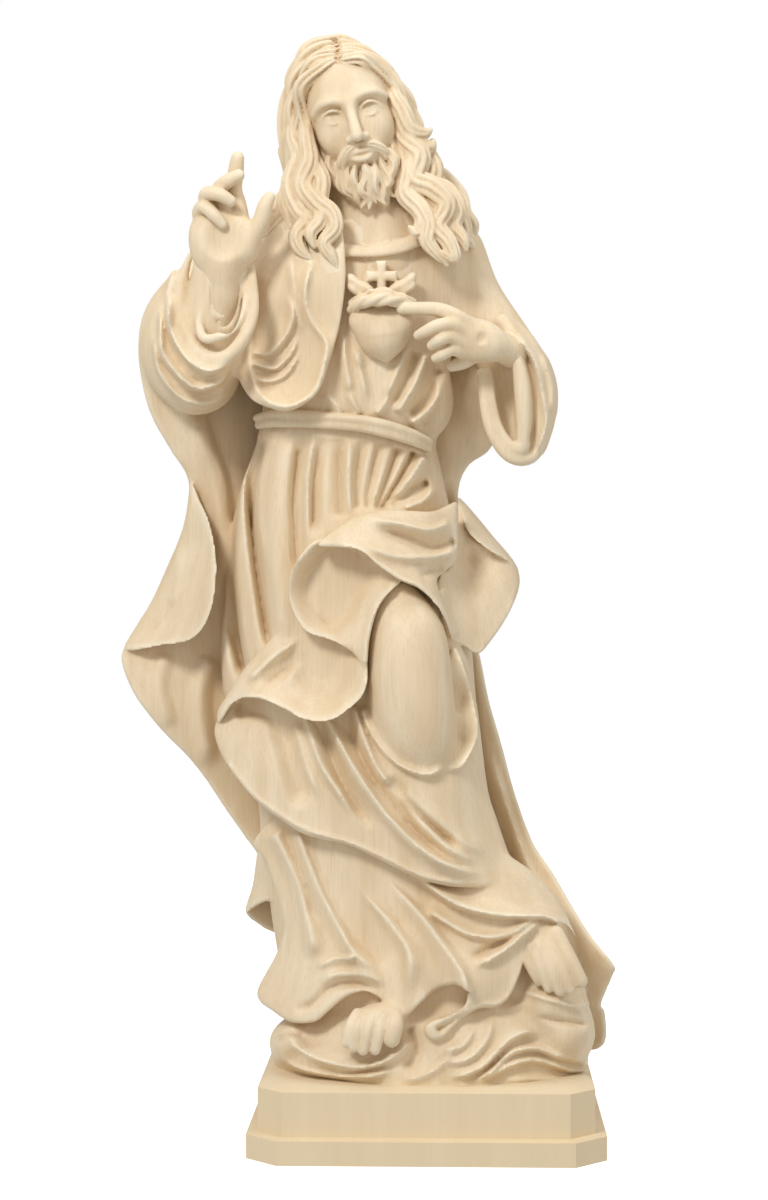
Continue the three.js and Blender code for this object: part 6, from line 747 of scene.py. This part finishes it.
class Clay:
    """Signed distances on a grid, negative in the wood, shaped by the functions of this class."""

    def __init__(self, lo, hi, step):
        self.step = step
        ends = np.floor(np.array(lo) / step), np.ceil(np.array(hi) / step)
        self.axes = [np.arange(a, b + 1) * step for a, b in zip(*ends)]
        self.v = np.full([a.size for a in self.axes], FAR, np.float32)

    def part(self, lo, hi, margin=0.0):
        """Slices of the grid between two corners, and x, y and z over them."""
        ends = [np.searchsorted(a, [l - margin, h + margin]) for a, l, h in zip(self.axes, lo, hi)]
        cut = tuple(slice(*e) for e in ends)
        return cut, *self.over(cut)

    def over(self, cut):
        """x, y and z over slices of the grid, each along its own axis."""
        x, y, z = (a[c].astype(np.float32) for a, c in zip(self.axes, cut))
        return x[:, None, None], y[None, :, None], z[None, None, :]

    def merge(self, cut, d, blend, away=False):
        """Adds a distance to the clay, or cuts it away."""
        if min(d.shape):
            self.v[cut] = -joined(-self.v[cut], d, blend) if away else joined(self.v[cut], d, blend)

    def bar(self, points, blend, away, groove):
        """Distance to a chain of segments less the radius, which runs evenly between their ends.

        Groove is (count, depth, twist): it adds radius x depth x (1 - |cos(count / 2 x angle + twist
        x way along)|), the angle being that around the bar.
        """
        line = curve(points, 6)
        reach = line[:, 3].max()
        margin = blend + 3 * self.step
        cut, x, y, z = self.part(line[:, :3].min(0) - reach, line[:, :3].max(0) + reach, margin)
        d = np.full(self.v[cut].shape, FAR, np.float32)
        corner = [c.start for c in cut]
        at = 0.0
        for a, b in zip(line[:-1], line[1:]):
            way = b[:3] - a[:3]
            run = np.sqrt(way @ way) + 1e-9
            wide = max(a[3], b[3]) + margin + 2
            inner = self.part(np.minimum(a, b)[:3], np.maximum(a, b)[:3], wide)[0]
            inner = tuple(slice(max(s.start, c.start), min(s.stop, c.stop)) for s, c in zip(inner, cut))
            here = tuple(slice(s.start - c, s.stop - c) for s, c in zip(inner, corner))
            ox, oy, oz = (u - v for u, v in zip(self.over(inner), a))
            t = np.clip((ox * way[0] + oy * way[1] + oz * way[2]) / run ** 2, 0, 1)
            ox, oy, oz = ox - t * way[0], oy - t * way[1], oz - t * way[2]
            radius = a[3] + t * (b[3] - a[3])
            far = np.sqrt(ox * ox + oy * oy + oz * oz) - radius
            if groove:
                side = (ox * way[2] - oz * way[0]) / run
                turn = groove[0] * 0.5 * np.arctan2(side, -oy) + groove[2] * (at + t * run)
                far = far + radius * groove[1] * (1 - np.abs(np.cos(turn)))
            d[here] = np.minimum(d[here], far)
            at += run
        self.merge(cut, d, blend, away)

    def tube(self, points, blend=2, away=False):
        """Round bar through [x, y, z, radius] points."""
        self.bar(points, blend, away, None)

    def lock(self, points, grooves, depth, twist, blend=1):
        """Lock of hair: a bar fluted by gouge grooves that wind slowly along it."""
        self.bar(points, blend, False, (grooves, depth, twist))

    def tresses(self, first, last, count, grooves, depth, wave, blend=1):
        """Locks side by side, each a share of the way from the first to the last.

        From its second point on, a lock is moved by wave x sin(turn) across and by half of wave x
        cos(turn) in depth, where the turn grows by SWAY from point to point and lock to lock.
        """
        first, last = np.array(first, float), np.array(last, float)
        turn = SWAY[0] * np.arange(len(first))
        for k in range(count):
            points = first + (last - first) * k / max(count - 1, 1)
            points[1:, 0] += wave * np.sin(turn + SWAY[1] * k)[1:]
            points[1:, 1] += wave / 2 * np.cos(turn + SWAY[1] * k)[1:]
            self.lock(points, grooves, depth, TRESS_TWIST, blend)

    def ball(self, centre, radii, roll=0, blend=3, away=False):
        """Ellipsoid, rolled by degrees in the front plane.

        Its distance is k x (k - 1) over the length of the point over the radii squared, where k is
        the length of the point over the radii.
        """
        c, s = math.cos(math.radians(roll)), math.sin(math.radians(roll))
        reach = max(radii)
        centre = np.array(centre)
        cut, x, y, z = self.part(centre - reach, centre + reach, blend + 3 * self.step)
        x, y, z = x - centre[0], y - centre[1], z - centre[2]
        p = (x * c + z * s, y, z * c - x * s)
        k = np.sqrt(sum((v / r) ** 2 for v, r in zip(p, radii)))
        g = np.sqrt(sum((v / r ** 2) ** 2 for v, r in zip(p, radii)))
        self.merge(cut, k * (k - 1) / (g + 1e-9), blend, away)

    def loft(self, rows, folds=(), blend=3, back=()):
        """Body of elliptical sections, from rows of [z, x, half width, y, half depth].

        Its distance is (k - 1) x the smaller half, k being the length of the point over the halves.
        Strokes move its front and its back, one giving way to the other over SIDE mm.
        """
        line = curve(rows, 8)
        line = line[np.argsort(line[:, 0])]
        low, high = line[0, 0], line[-1, 0]
        lo = ((line[:, 1] - line[:, 2]).min(), (line[:, 3] - line[:, 4]).min(), low)
        hi = ((line[:, 1] + line[:, 2]).max(), (line[:, 3] + line[:, 4]).max(), high)
        cut, x, y, z = self.part(lo, hi, blend + 3 * self.step)
        cx, rx, cy, ry = (np.interp(z, line[:, 0], line[:, c]).astype(np.float32) for c in (1, 2, 3, 4))
        d = (np.hypot((x - cx) / rx, (y - cy) / ry) - 1) * np.minimum(rx, ry)
        share = smooth((cy - y) / SIDE + 0.5)
        d = d - share * strokes(x, z, folds)[:, None, :] - (1 - share) * strokes(x, z, back)[:, None, :]
        self.merge(cut, within(within(d, z - high, END), low - z, END), blend)

    def sheet(self, outline, inner, thick, folds=(), blend=2):
        """Cloth inside an outline of [x, y, z] points, with more points inside it.

        Its face is the thin plate through the points, moved by strokes. Its distance is that to the
        middle of the cloth, less half its thickness, kept within the outline. Over BLOCK mm it is a
        block behind its face, with sides that draw in by DRAFT from BLOCK_EDGE behind it.
        """
        points = np.array(list(outline) + list(inner), float)
        lo, hi = points.min(0) - [0, ROOM, 0], points.max(0) + [0, thick + ROOM, 0]
        cut, x, y, z = self.part(lo, hi, blend + 3 * self.step)
        px, pz = x[:, :, 0], z[0]
        face = (plate(points, px, pz) - strokes(px, pz, folds)).astype(np.float32)
        slope = np.sqrt(1 + sum(np.square(g / self.step) for g in np.gradient(face)))
        face = face[:, None, :]
        lean = np.maximum(1 / slope, STEEPEST)[:, None, :]
        rim = outline_distance(outline, px, pz)[:, None, :].astype(np.float32)
        if thick > BLOCK:
            d = np.maximum((face - y) * lean, y - face - thick)
            rim = rim + DRAFT * np.maximum(0, y - face - BLOCK_EDGE)
        else:
            d = np.abs(y - face - thick / 2 / lean) * lean - thick / 2
        self.merge(cut, within(d, rim, min(thick, EDGE)), blend)

    def relief(self, folds, deepest):
        """Strokes over whatever is there, in front of a depth."""
        for fold in folds:
            line = curve(fold[0], 3)
            (x0, z0), (x1, z1) = line.min(0), line.max(0)
            cut, x, y, z = self.part((x0, FRONT, z0), (x1, deepest + FADE / 2, z1), fold[1])
            self.v[cut] -= strokes(x, z, [fold])[:, None, :] * smooth((deepest - y) / FADE + 0.5)

    def carve(self, rows):
        """Works through rows of a function's name and its inputs.

        A row that starts with "face" or "pair" is drawn upright on the head and leaned with it, and a
        pair is carved again mirrored.
        """
        c, s = math.cos(math.radians(HEAD_LEAN)), math.sin(math.radians(HEAD_LEAN))

        def leaned(points, side):
            p = np.array(points, float)
            u, w = side * p[..., 0], p[..., 2].copy()
            p[..., 0], p[..., 2] = HEAD_CENTRE[0] + u * c - w * s, HEAD_CENTRE[2] + u * s + w * c
            p[..., 1] += HEAD_CENTRE[1]
            return p

        for tool, *rest in rows:
            if tool not in ("face", "pair"):
                getattr(self, tool)(*rest)
                continue
            kind, points, *more = rest
            for side in (1, -1)[:1 if tool == "face" else 2]:
                p = leaned(points, side)
                if kind == "ball":
                    roll = more[1] if more[1:] else 0
                    self.ball(p, more[0], HEAD_LEAN + side * roll, *more[2:])
                elif kind == "tresses":
                    self.tresses(p, leaned(more[0], side), *more[1:])
                else:
                    getattr(self, kind)(p, *more)
        return self

    def skin(self):
        """Points, triangles and quads of the surface, and how deep in a hollow each point lies.

        The hollow is the share of wood in a box of about HOLLOW mm around the point: a half on a
        flat, more in a recess.
        """
        v = self.v
        for axis in range(3):
            edge = [slice(None)] * 3
            edge[axis] = [0, -1]
            v[tuple(edge)] = np.maximum(v[tuple(edge)], self.step / 4)
        grid = openvdb.FloatGrid(FAR)
        grid.copyFromArray(np.clip(v, -3 * self.step, 3 * self.step))
        points, triangles, quads = grid.convertToPolygons(isovalue=0.0, adaptivity=0.0)
        wood = np.clip(0.5 - v / self.step, 0, 1)
        reach = max(1, round(HOLLOW / 2 / self.step))
        for axis in range(3):
            total = np.cumsum(wood, axis, dtype=np.float32)
            size = wood.shape[axis]
            up = np.clip(np.arange(size) + reach, 0, size - 1)
            down = np.clip(np.arange(size) - reach - 1, 0, size - 1)
            wood = (np.take(total, up, axis) - np.take(total, down, axis)) / (2 * reach + 1)
        near = tuple(np.clip(np.round(points[:, c]).astype(int), 0, v.shape[c] - 1) for c in range(3))
        return points * self.step + [a[0] for a in self.axes], triangles, quads, wood[near]


def shade(hex_colour):
    """Linear colour from an sRGB hex value.

    Each channel is c / 12.92 up to 0.04045, and above it ((c + 0.055) / 1.055) to the power 2.4.
    """
    c = np.array([int(hex_colour[i:i + 2], 16) / 255 for i in (0, 2, 4)])
    return (*np.where(c <= 0.04045, c / 12.92, ((c + 0.055) / 1.055) ** 2.4), 1.0)


def node(tree, kind, settings=(), links=()):
    """Adds a node, gives its properties and unlinked inputs their values, and links its inputs."""
    new = tree.nodes.new(kind)
    for key, value in dict(settings).items():
        if isinstance(key, str) and hasattr(new, key):
            setattr(new, key, value)
        else:
            new.inputs[key].default_value = value
    for key, source in dict(links).items():
        tree.links.new(source, new.inputs[key])
    return new


def lime_wood(look):
    """Lime wood, cut with gouges and left without oil or stain.

    Pale and matt, with fine upright grain and gentle wide bands of growth. Painted shade browns its
    recesses, a painted highlight pales its sharp edges, and the plinth darkens towards the bottom,
    partly for its own wood and partly as painted shade.
    """
    material = bpy.data.materials.new("lime_wood_gouge_cut")
    material.use_nodes = True
    tree = material.node_tree
    tree.nodes.clear()
    place = node(tree, "ShaderNodeTexCoord").outputs["Object"]
    height = node(tree, "ShaderNodeSeparateXYZ", (), {"Vector": place}).outputs["Z"]
    # The hollow drives the painted shade in recesses and the painted highlight on sharp edges below.
    hollow = node(tree, "ShaderNodeAttribute",
                  {"attribute_type": "GEOMETRY", "attribute_name": "hollow"}).outputs["Fac"]
    patterns = []
    for kind, across, along, settings in (
        # Pores and fibres run up the blank: about 1.2 mm across the grain and 30 mm along it.
        ("ShaderNodeTexNoise", 1.2, 30, {"Detail": 3, "Roughness": 0.6}),
        # Growth bands: about 14 mm across and 250 mm along.
        ("ShaderNodeTexNoise", 14, 250, {"Detail": 2, "Roughness": 0.5}),
        # Gouge cuts: shallow facets some 5 mm across.
        ("ShaderNodeTexVoronoi", 5, 9, {"feature": "SMOOTH_F1", "Smoothness": 0.4}),
    ):
        size = (1 / (across * MM), 1 / (across * MM), 1 / (along * MM))
        placed = node(tree, "ShaderNodeMapping", {"Scale": size}, {"Vector": place})
        pattern = node(tree, kind, {"Scale": 1, **settings}, {"Vector": placed.outputs[0]})
        patterns.append(pattern.outputs[0])
    fibre, band, cuts = patterns

    # Each row lays a colour over the wood so far, from none at the first value to a share at the second.
    wood = {}
    for factor, low, high, colour, share in (
        (band, 0.35, 0.65, look.warm, 1.0),
        (fibre, 0.45, 0.75, look.fibre, 0.35),
        # Painted shade: browner the deeper a point lies in a recess.
        (hollow, 0.56, 0.92, look.recess, 0.65),
        # Painted highlight: paler on sharp edges, where little wood lies near.
        (hollow, 0.45, 0.25, look.edge, 0.5),
        # The plinth is darker and yellower towards the bottom, from 50 mm down to 36 mm:
        # partly its heartier wood, partly painted shade for the lesser light low down.
        (height, 0.050, 0.036, look.plinth_tone_and_shade, 0.5),
    ):
        limits = {"From Min": low, "From Max": high, "To Max": share}
        ramp = node(tree, "ShaderNodeMapRange", limits, {"Value": factor})
        colours = {"data_type": "RGBA", 6: shade(look.pale), 7: shade(colour)}
        mix = node(tree, "ShaderNodeMix", colours, {0: ramp.outputs[0], **wood})
        wood = {6: mix.outputs[2]}

    facet = node(tree, "ShaderNodeBump", {"Strength": 0.35, "Distance": 0.25 * MM}, {"Height": cuts})
    grain = node(tree, "ShaderNodeBump", {"Strength": 0.35, "Distance": 0.12 * MM},
                 {"Height": fibre, "Normal": facet.outputs[0]})
    shader = node(tree, "ShaderNodeBsdfPrincipled",
                  {"Roughness": 0.62, "IOR": 1.45, "Subsurface Weight": 0.0},
                  {"Base Color": wood[6], "Normal": grain.outputs[0]})
    node(tree, "ShaderNodeOutputMaterial", (), {"Surface": shader.outputs[0]})
    return material


def stand(points, sizes):
    """From the drawn front to millimetres on the plinth.

    x and z are spread from EYE by (y - eye y) / -eye y, and all is sized from the drawn height to the
    real one.
    """
    spread = ((points[:, 1] - EYE[1]) / -EYE[1])[:, None]
    real = EYE + (points - EYE) * spread
    real[:, 1] = points[:, 1]
    size = (sizes.height / MM - sizes.plinth_top / MM) / (DRAWN_HEIGHT - DRAWN_FOOT)
    return real * size + [0, 0, sizes.plinth_top / MM - DRAWN_FOOT * size]


def mesh_object(name, points, faces, hollow=None):
    """New object at the origin from points in millimetres and lists of three- and four-sided faces."""
    sides = np.concatenate([np.full(len(f), f.shape[1]) for f in faces])
    corners = np.concatenate([f.ravel() for f in faces])
    mesh = bpy.data.meshes.new(name)
    mesh.vertices.add(len(points))
    mesh.vertices.foreach_set("co", (points * MM).ravel())
    mesh.loops.add(len(corners))
    mesh.loops.foreach_set("vertex_index", corners)
    mesh.polygons.add(len(sides))
    mesh.polygons.foreach_set("loop_start", np.cumsum(sides) - sides)
    mesh.update(calc_edges=True)
    if hollow is not None:
        mesh.attributes.new("hollow", "FLOAT", "POINT").data.foreach_set("value", hollow)
    mesh.validate()
    piece = bpy.data.objects.new(name, mesh)
    bpy.context.scene.collection.objects.link(piece)
    return piece


def with_modifiers(piece):
    """The piece with its modifiers worked into its mesh."""
    mesh = bpy.data.meshes.new_from_object(piece.evaluated_get(bpy.context.evaluated_depsgraph_get()))
    piece.modifiers.clear()
    piece.data = mesh
    return piece


# Blocks of clay: the rows, two corners, the grid as a share of the carving step, and triangles kept.
BLOCKS = {
    "drapery": (BODY, (-172, -90, 20), (106, 82, 560), 1, 106000),
    "head": (HEAD, (-96, -52, 446), (36, 50, 608), 0.55, 58000),
    "hand": (HAND, (-136, -68, 440), (-80, -26, 542), 0.5, 8000),
    "pointing_hand": (POINTING_HAND, (-18, -66, 408), (54, -20, 466), 0.5, 8000),
    "heart": (HEART, (-52, -58, 412), (0, -22, 484), 0.45, 8000),
}


def clay_piece(name, sizes, rows, lo, hi, share, triangles):
    """Carves rows into a block of clay, skins it, stands it on the plinth and thins it.

    The share of triangles kept is the wanted count over the skin's.
    """
    clay = Clay(lo, hi, share * sizes.clay_step / MM)
    points, threes, fours, hollow = clay.carve(rows).skin()
    piece = mesh_object(name, stand(points, sizes), [threes, fours], hollow)
    thin = piece.modifiers.new("thin", "DECIMATE")
    thin.ratio = min(1, triangles / (len(threes) + 2 * len(fours)))
    return with_modifiers(piece)


def plinth_block(sizes):
    """Closed block of eight-sided rings: lower tier, sloping ledge, upper tier and top bevel.

    A ring's corners are (w, d - c) and (w - c, d), and the same mirrored, for half width w, half
    depth d and chamfer c.
    """
    w, d, ledge = sizes.plinth_width / 2, sizes.plinth_depth / 2, sizes.ledge
    step = sizes.lower_tier + sizes.ledge_rise
    rings = np.array([
        [0, w, d, sizes.chamfer],
        [sizes.lower_tier, w, d, sizes.chamfer],
        [step, w - ledge, d - ledge, sizes.upper_chamfer],
        [step + sizes.upper_tier, w - ledge, d - ledge, sizes.upper_chamfer],
        [sizes.plinth_top, w - ledge - sizes.top_bevel, d - ledge - sizes.top_bevel,
         sizes.upper_chamfer - sizes.top_bevel_cut],
    ]) / MM
    z, w, d, c = rings.T[:, :, None]
    across = np.array([1, 1, 1, -1, -1, -1, -1, 1])
    deep = np.array([-1, 1, 1, 1, 1, -1, -1, -1])
    cut = np.array([0, 0, 1, 1, 0, 0, 1, 1])
    x, y = across * (w - cut * c), deep * (d - (1 - cut) * c)
    points = np.stack([x, y, np.broadcast_to(z, x.shape)], -1).reshape(-1, 3)
    i = np.arange(8)
    low = (8 * np.arange(len(rings) - 1))[:, None]
    walls = np.stack([low + i, low + (i + 1) % 8, low + 8 + (i + 1) % 8, low + 8 + i], -1).reshape(-1, 4)
    ends = np.stack([i[::-1], len(points) - 8 + i])
    return mesh_object("plinth", points, [walls, ends])


def joined_pieces(first, others):
    """One closed mesh from pieces that run into each other."""
    for other in others:
        union = first.modifiers.new("join", "BOOLEAN")
        union.operation, union.solver, union.object = "UNION", "MANIFOLD", other
    with_modifiers(first)
    for other in others:
        bpy.data.objects.remove(other)
    return first


class StatueSizes(bpy.types.PropertyGroup):
    """Sizes that a user would change."""
    height: bpy.props.FloatProperty(
        name="Height", description="Underside to crown", default=0.6, unit="LENGTH")
    plinth_width: bpy.props.FloatProperty(
        name="Plinth width", description="Lower tier, side to side", default=0.188, unit="LENGTH")
    plinth_depth: bpy.props.FloatProperty(
        name="Plinth depth", description="Lower tier, front to back", default=0.15, unit="LENGTH")
    lower_tier: bpy.props.FloatProperty(
        name="Lower tier", description="Height of the lower tier", default=0.0125, unit="LENGTH")
    ledge: bpy.props.FloatProperty(
        name="Ledge", description="How far the upper tier is set in", default=0.006, unit="LENGTH")
    ledge_rise: bpy.props.FloatProperty(
        name="Ledge rise", description="Slope of the ledge", default=0.0009, unit="LENGTH")
    upper_tier: bpy.props.FloatProperty(
        name="Upper tier", description="Upright height of the upper tier", default=0.023, unit="LENGTH")
    plinth_top: bpy.props.FloatProperty(
        name="Plinth top", description="Height of the plinth", default=0.039, unit="LENGTH")
    top_bevel: bpy.props.FloatProperty(
        name="Top bevel", description="Width of the slope round the top", default=0.004, unit="LENGTH")
    top_bevel_cut: bpy.props.FloatProperty(
        name="Top corner cut", description="Chamfer lost in the top bevel", default=0.0015, unit="LENGTH")
    chamfer: bpy.props.FloatProperty(
        name="Corner cut", description="Lower tier's corner chamfer", default=0.017, unit="LENGTH")
    upper_chamfer: bpy.props.FloatProperty(
        name="Upper corner cut", description="Upper tier's corner chamfer", default=0.0135, unit="LENGTH")
    clay_step: bpy.props.FloatProperty(
        name="Carving step", description="Grid of the drapery", default=0.001, unit="LENGTH")


class StatueLook(bpy.types.PropertyGroup):
    """Colours of the wood, of its painted shade and painted highlight, and of the stage, as sRGB hex."""
    pale: bpy.props.StringProperty(
        name="Pale wood", description="Lime wood between growth bands", default="e6d3b4")
    warm: bpy.props.StringProperty(
        name="Warm wood", description="Lime wood in growth bands", default="dcc5a2")
    fibre: bpy.props.StringProperty(
        name="Fibre", description="Dark fibres of the grain", default="c8b084")
    # Painted shade in the recesses.
    recess: bpy.props.StringProperty(
        name="Recess", description="Wood deep in the folds", default="a6845a")
    # Painted highlight on sharp edges.
    edge: bpy.props.StringProperty(
        name="Edge", description="Wood on sharp edges", default="efe4cc")
    # The plinth's own tone together with painted shade low down.
    plinth_tone_and_shade: bpy.props.StringProperty(
        name="Golden wood", description="Wood of the plinth", default="d6bd90")
    floor: bpy.props.StringProperty(
        name="Floor", description="Stage floor", default="ffffff")


class STATUE_OT_carve(bpy.types.Operator):
    """Carve the figure, clouds and plinth as one piece of lime wood"""
    bl_idname = "statue.carve"
    bl_label = "Carve statue"

    def execute(self, context):
        sizes, look = context.scene.statue_sizes, context.scene.statue_look
        drapery, *others = (clay_piece(name, sizes, *block) for name, block in BLOCKS.items())
        statue = joined_pieces(drapery, [*others, plinth_block(sizes)])
        statue.name = "carved_statue"
        centres = np.zeros(3 * len(statue.data.polygons), np.float32)
        statue.data.polygons.foreach_get("center", centres)
        # The plinth's sides and top stay flat.
        carved = centres[2::3] > sizes.plinth_top + FLAT * MM
        statue.data.polygons.foreach_set("use_smooth", carved)
        statue.data.set_sharp_from_angle(angle=SHARP)
        statue.data.materials.clear()
        statue.data.materials.append(lime_wood(look))
        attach(statue, "root")
        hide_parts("statue")
        return {"FINISHED"}


class STATUE_OT_stage(bpy.types.Operator):
    """Set the camera, the soft studio light and the pale floor"""
    bl_idname = "statue.stage"
    bl_label = "Set stage"

    def execute(self, context):
        scene = context.scene
        # A hair's breadth under the plinth, so that the two faces don't coincide.
        corners = np.array([[-4e3, -3e3, -0.2], [4e3, -3e3, -0.2], [4e3, 6e3, -0.2], [-4e3, 6e3, -0.2]])
        floor = mesh_object("floor", corners, [np.array([[0, 1, 2, 3]])])
        white = bpy.data.materials.new("matt_white_studio_floor")
        white.use_nodes = True
        paint = white.node_tree.nodes["Principled BSDF"]
        paint.inputs["Base Color"].default_value = shade(scene.statue_look.floor)
        paint.inputs["Roughness"].default_value = 0.9
        paint.inputs["Emission Color"].default_value = (1, 1, 1, 1)
        paint.inputs["Emission Strength"].default_value = 0.5
        floor.data.materials.append(white)
        # Its glow is for the eye alone, so that the underside of the folds stays in shade.
        floor.visible_diffuse = False

        camera = bpy.data.cameras.new("camera")
        camera.sensor_fit = "VERTICAL"
        camera.sensor_height = 36
        camera.lens = LENS
        eye = bpy.data.objects.new("camera", camera)
        eye.location = EYE * MM
        eye.rotation_euler = (math.radians(90), 0, YAW)
        scene.collection.objects.link(eye)
        scene.camera = eye

        world = bpy.data.worlds.new("studio")
        world.use_nodes = True
        # A white backdrop for the eye, and a dimmer white room for the light.
        tree = world.node_tree
        room = tree.nodes["Background"]
        room.inputs["Color"].default_value = (1, 1, 1, 1)
        room.inputs["Strength"].default_value = 0.56
        backdrop = node(tree, "ShaderNodeBackground", {"Color": (1, 1, 1, 1), "Strength": 1.0})
        seen = node(tree, "ShaderNodeLightPath").outputs["Is Camera Ray"]
        both = node(tree, "ShaderNodeMixShader", (),
            {0: seen, 1: room.outputs[0], 2: backdrop.outputs[0]})
        tree.links.new(both.outputs[0], tree.nodes["World Output"].inputs["Surface"])
        scene.world = world
        # Lamps: name, place, width, watts, and the point that each faces.
        for name, place, size, power, aim in (
            ("key", (-0.9, -1.6, 1.7), 0.5, 28, (0, 0, 0.32)),
            ("top", (0.3, -0.2, 2.0), 0.8, 8, (0, 0, 0.3)),
            ("fill", (1.5, -1.2, 0.8), 1.0, 4, (0, 0, 0.3)),
        ):
            light = bpy.data.lights.new(name, "AREA")
            light.size, light.energy = size, power
            lamp = bpy.data.objects.new(name, light)
            lamp.location = place
            way = np.array(aim) - place
            down = math.atan2(math.hypot(way[0], way[1]), -way[2])
            lamp.rotation_euler = (down, 0, math.atan2(way[1], way[0]) - math.pi / 2)
            scene.collection.objects.link(lamp)
        scene.view_settings.view_transform = "Standard"
        return {"FINISHED"}


class STATUE_PT_panel(bpy.types.Panel):
    """Lists the statue's sizes, colours and steps"""
    bl_idname = "STATUE_PT_panel"
    bl_label = "Statue"
    bl_space_type = "VIEW_3D"
    bl_region_type = "UI"
    bl_category = "Statue"

    def draw(self, context):
        for group in (context.scene.statue_sizes, context.scene.statue_look):
            for name in group.__annotations__:
                self.layout.prop(group, name)
        self.layout.operator(STATUE_OT_carve.bl_idname)
        self.layout.operator(STATUE_OT_stage.bl_idname)


CLASSES = (StatueSizes, StatueLook, STATUE_OT_carve, STATUE_OT_stage, STATUE_PT_panel)


def register():
    for each in CLASSES:
        bpy.utils.register_class(each)
    bpy.types.Scene.statue_sizes = bpy.props.PointerProperty(type=StatueSizes)
    bpy.types.Scene.statue_look = bpy.props.PointerProperty(type=StatueLook)


def unregister():
    del bpy.types.Scene.statue_look
    del bpy.types.Scene.statue_sizes
    for each in reversed(CLASSES):
        bpy.utils.unregister_class(each)


def main():
    register()
    bpy.ops.statue.carve()
    bpy.ops.statue.stage()


if __name__ == "__main__":
    main()
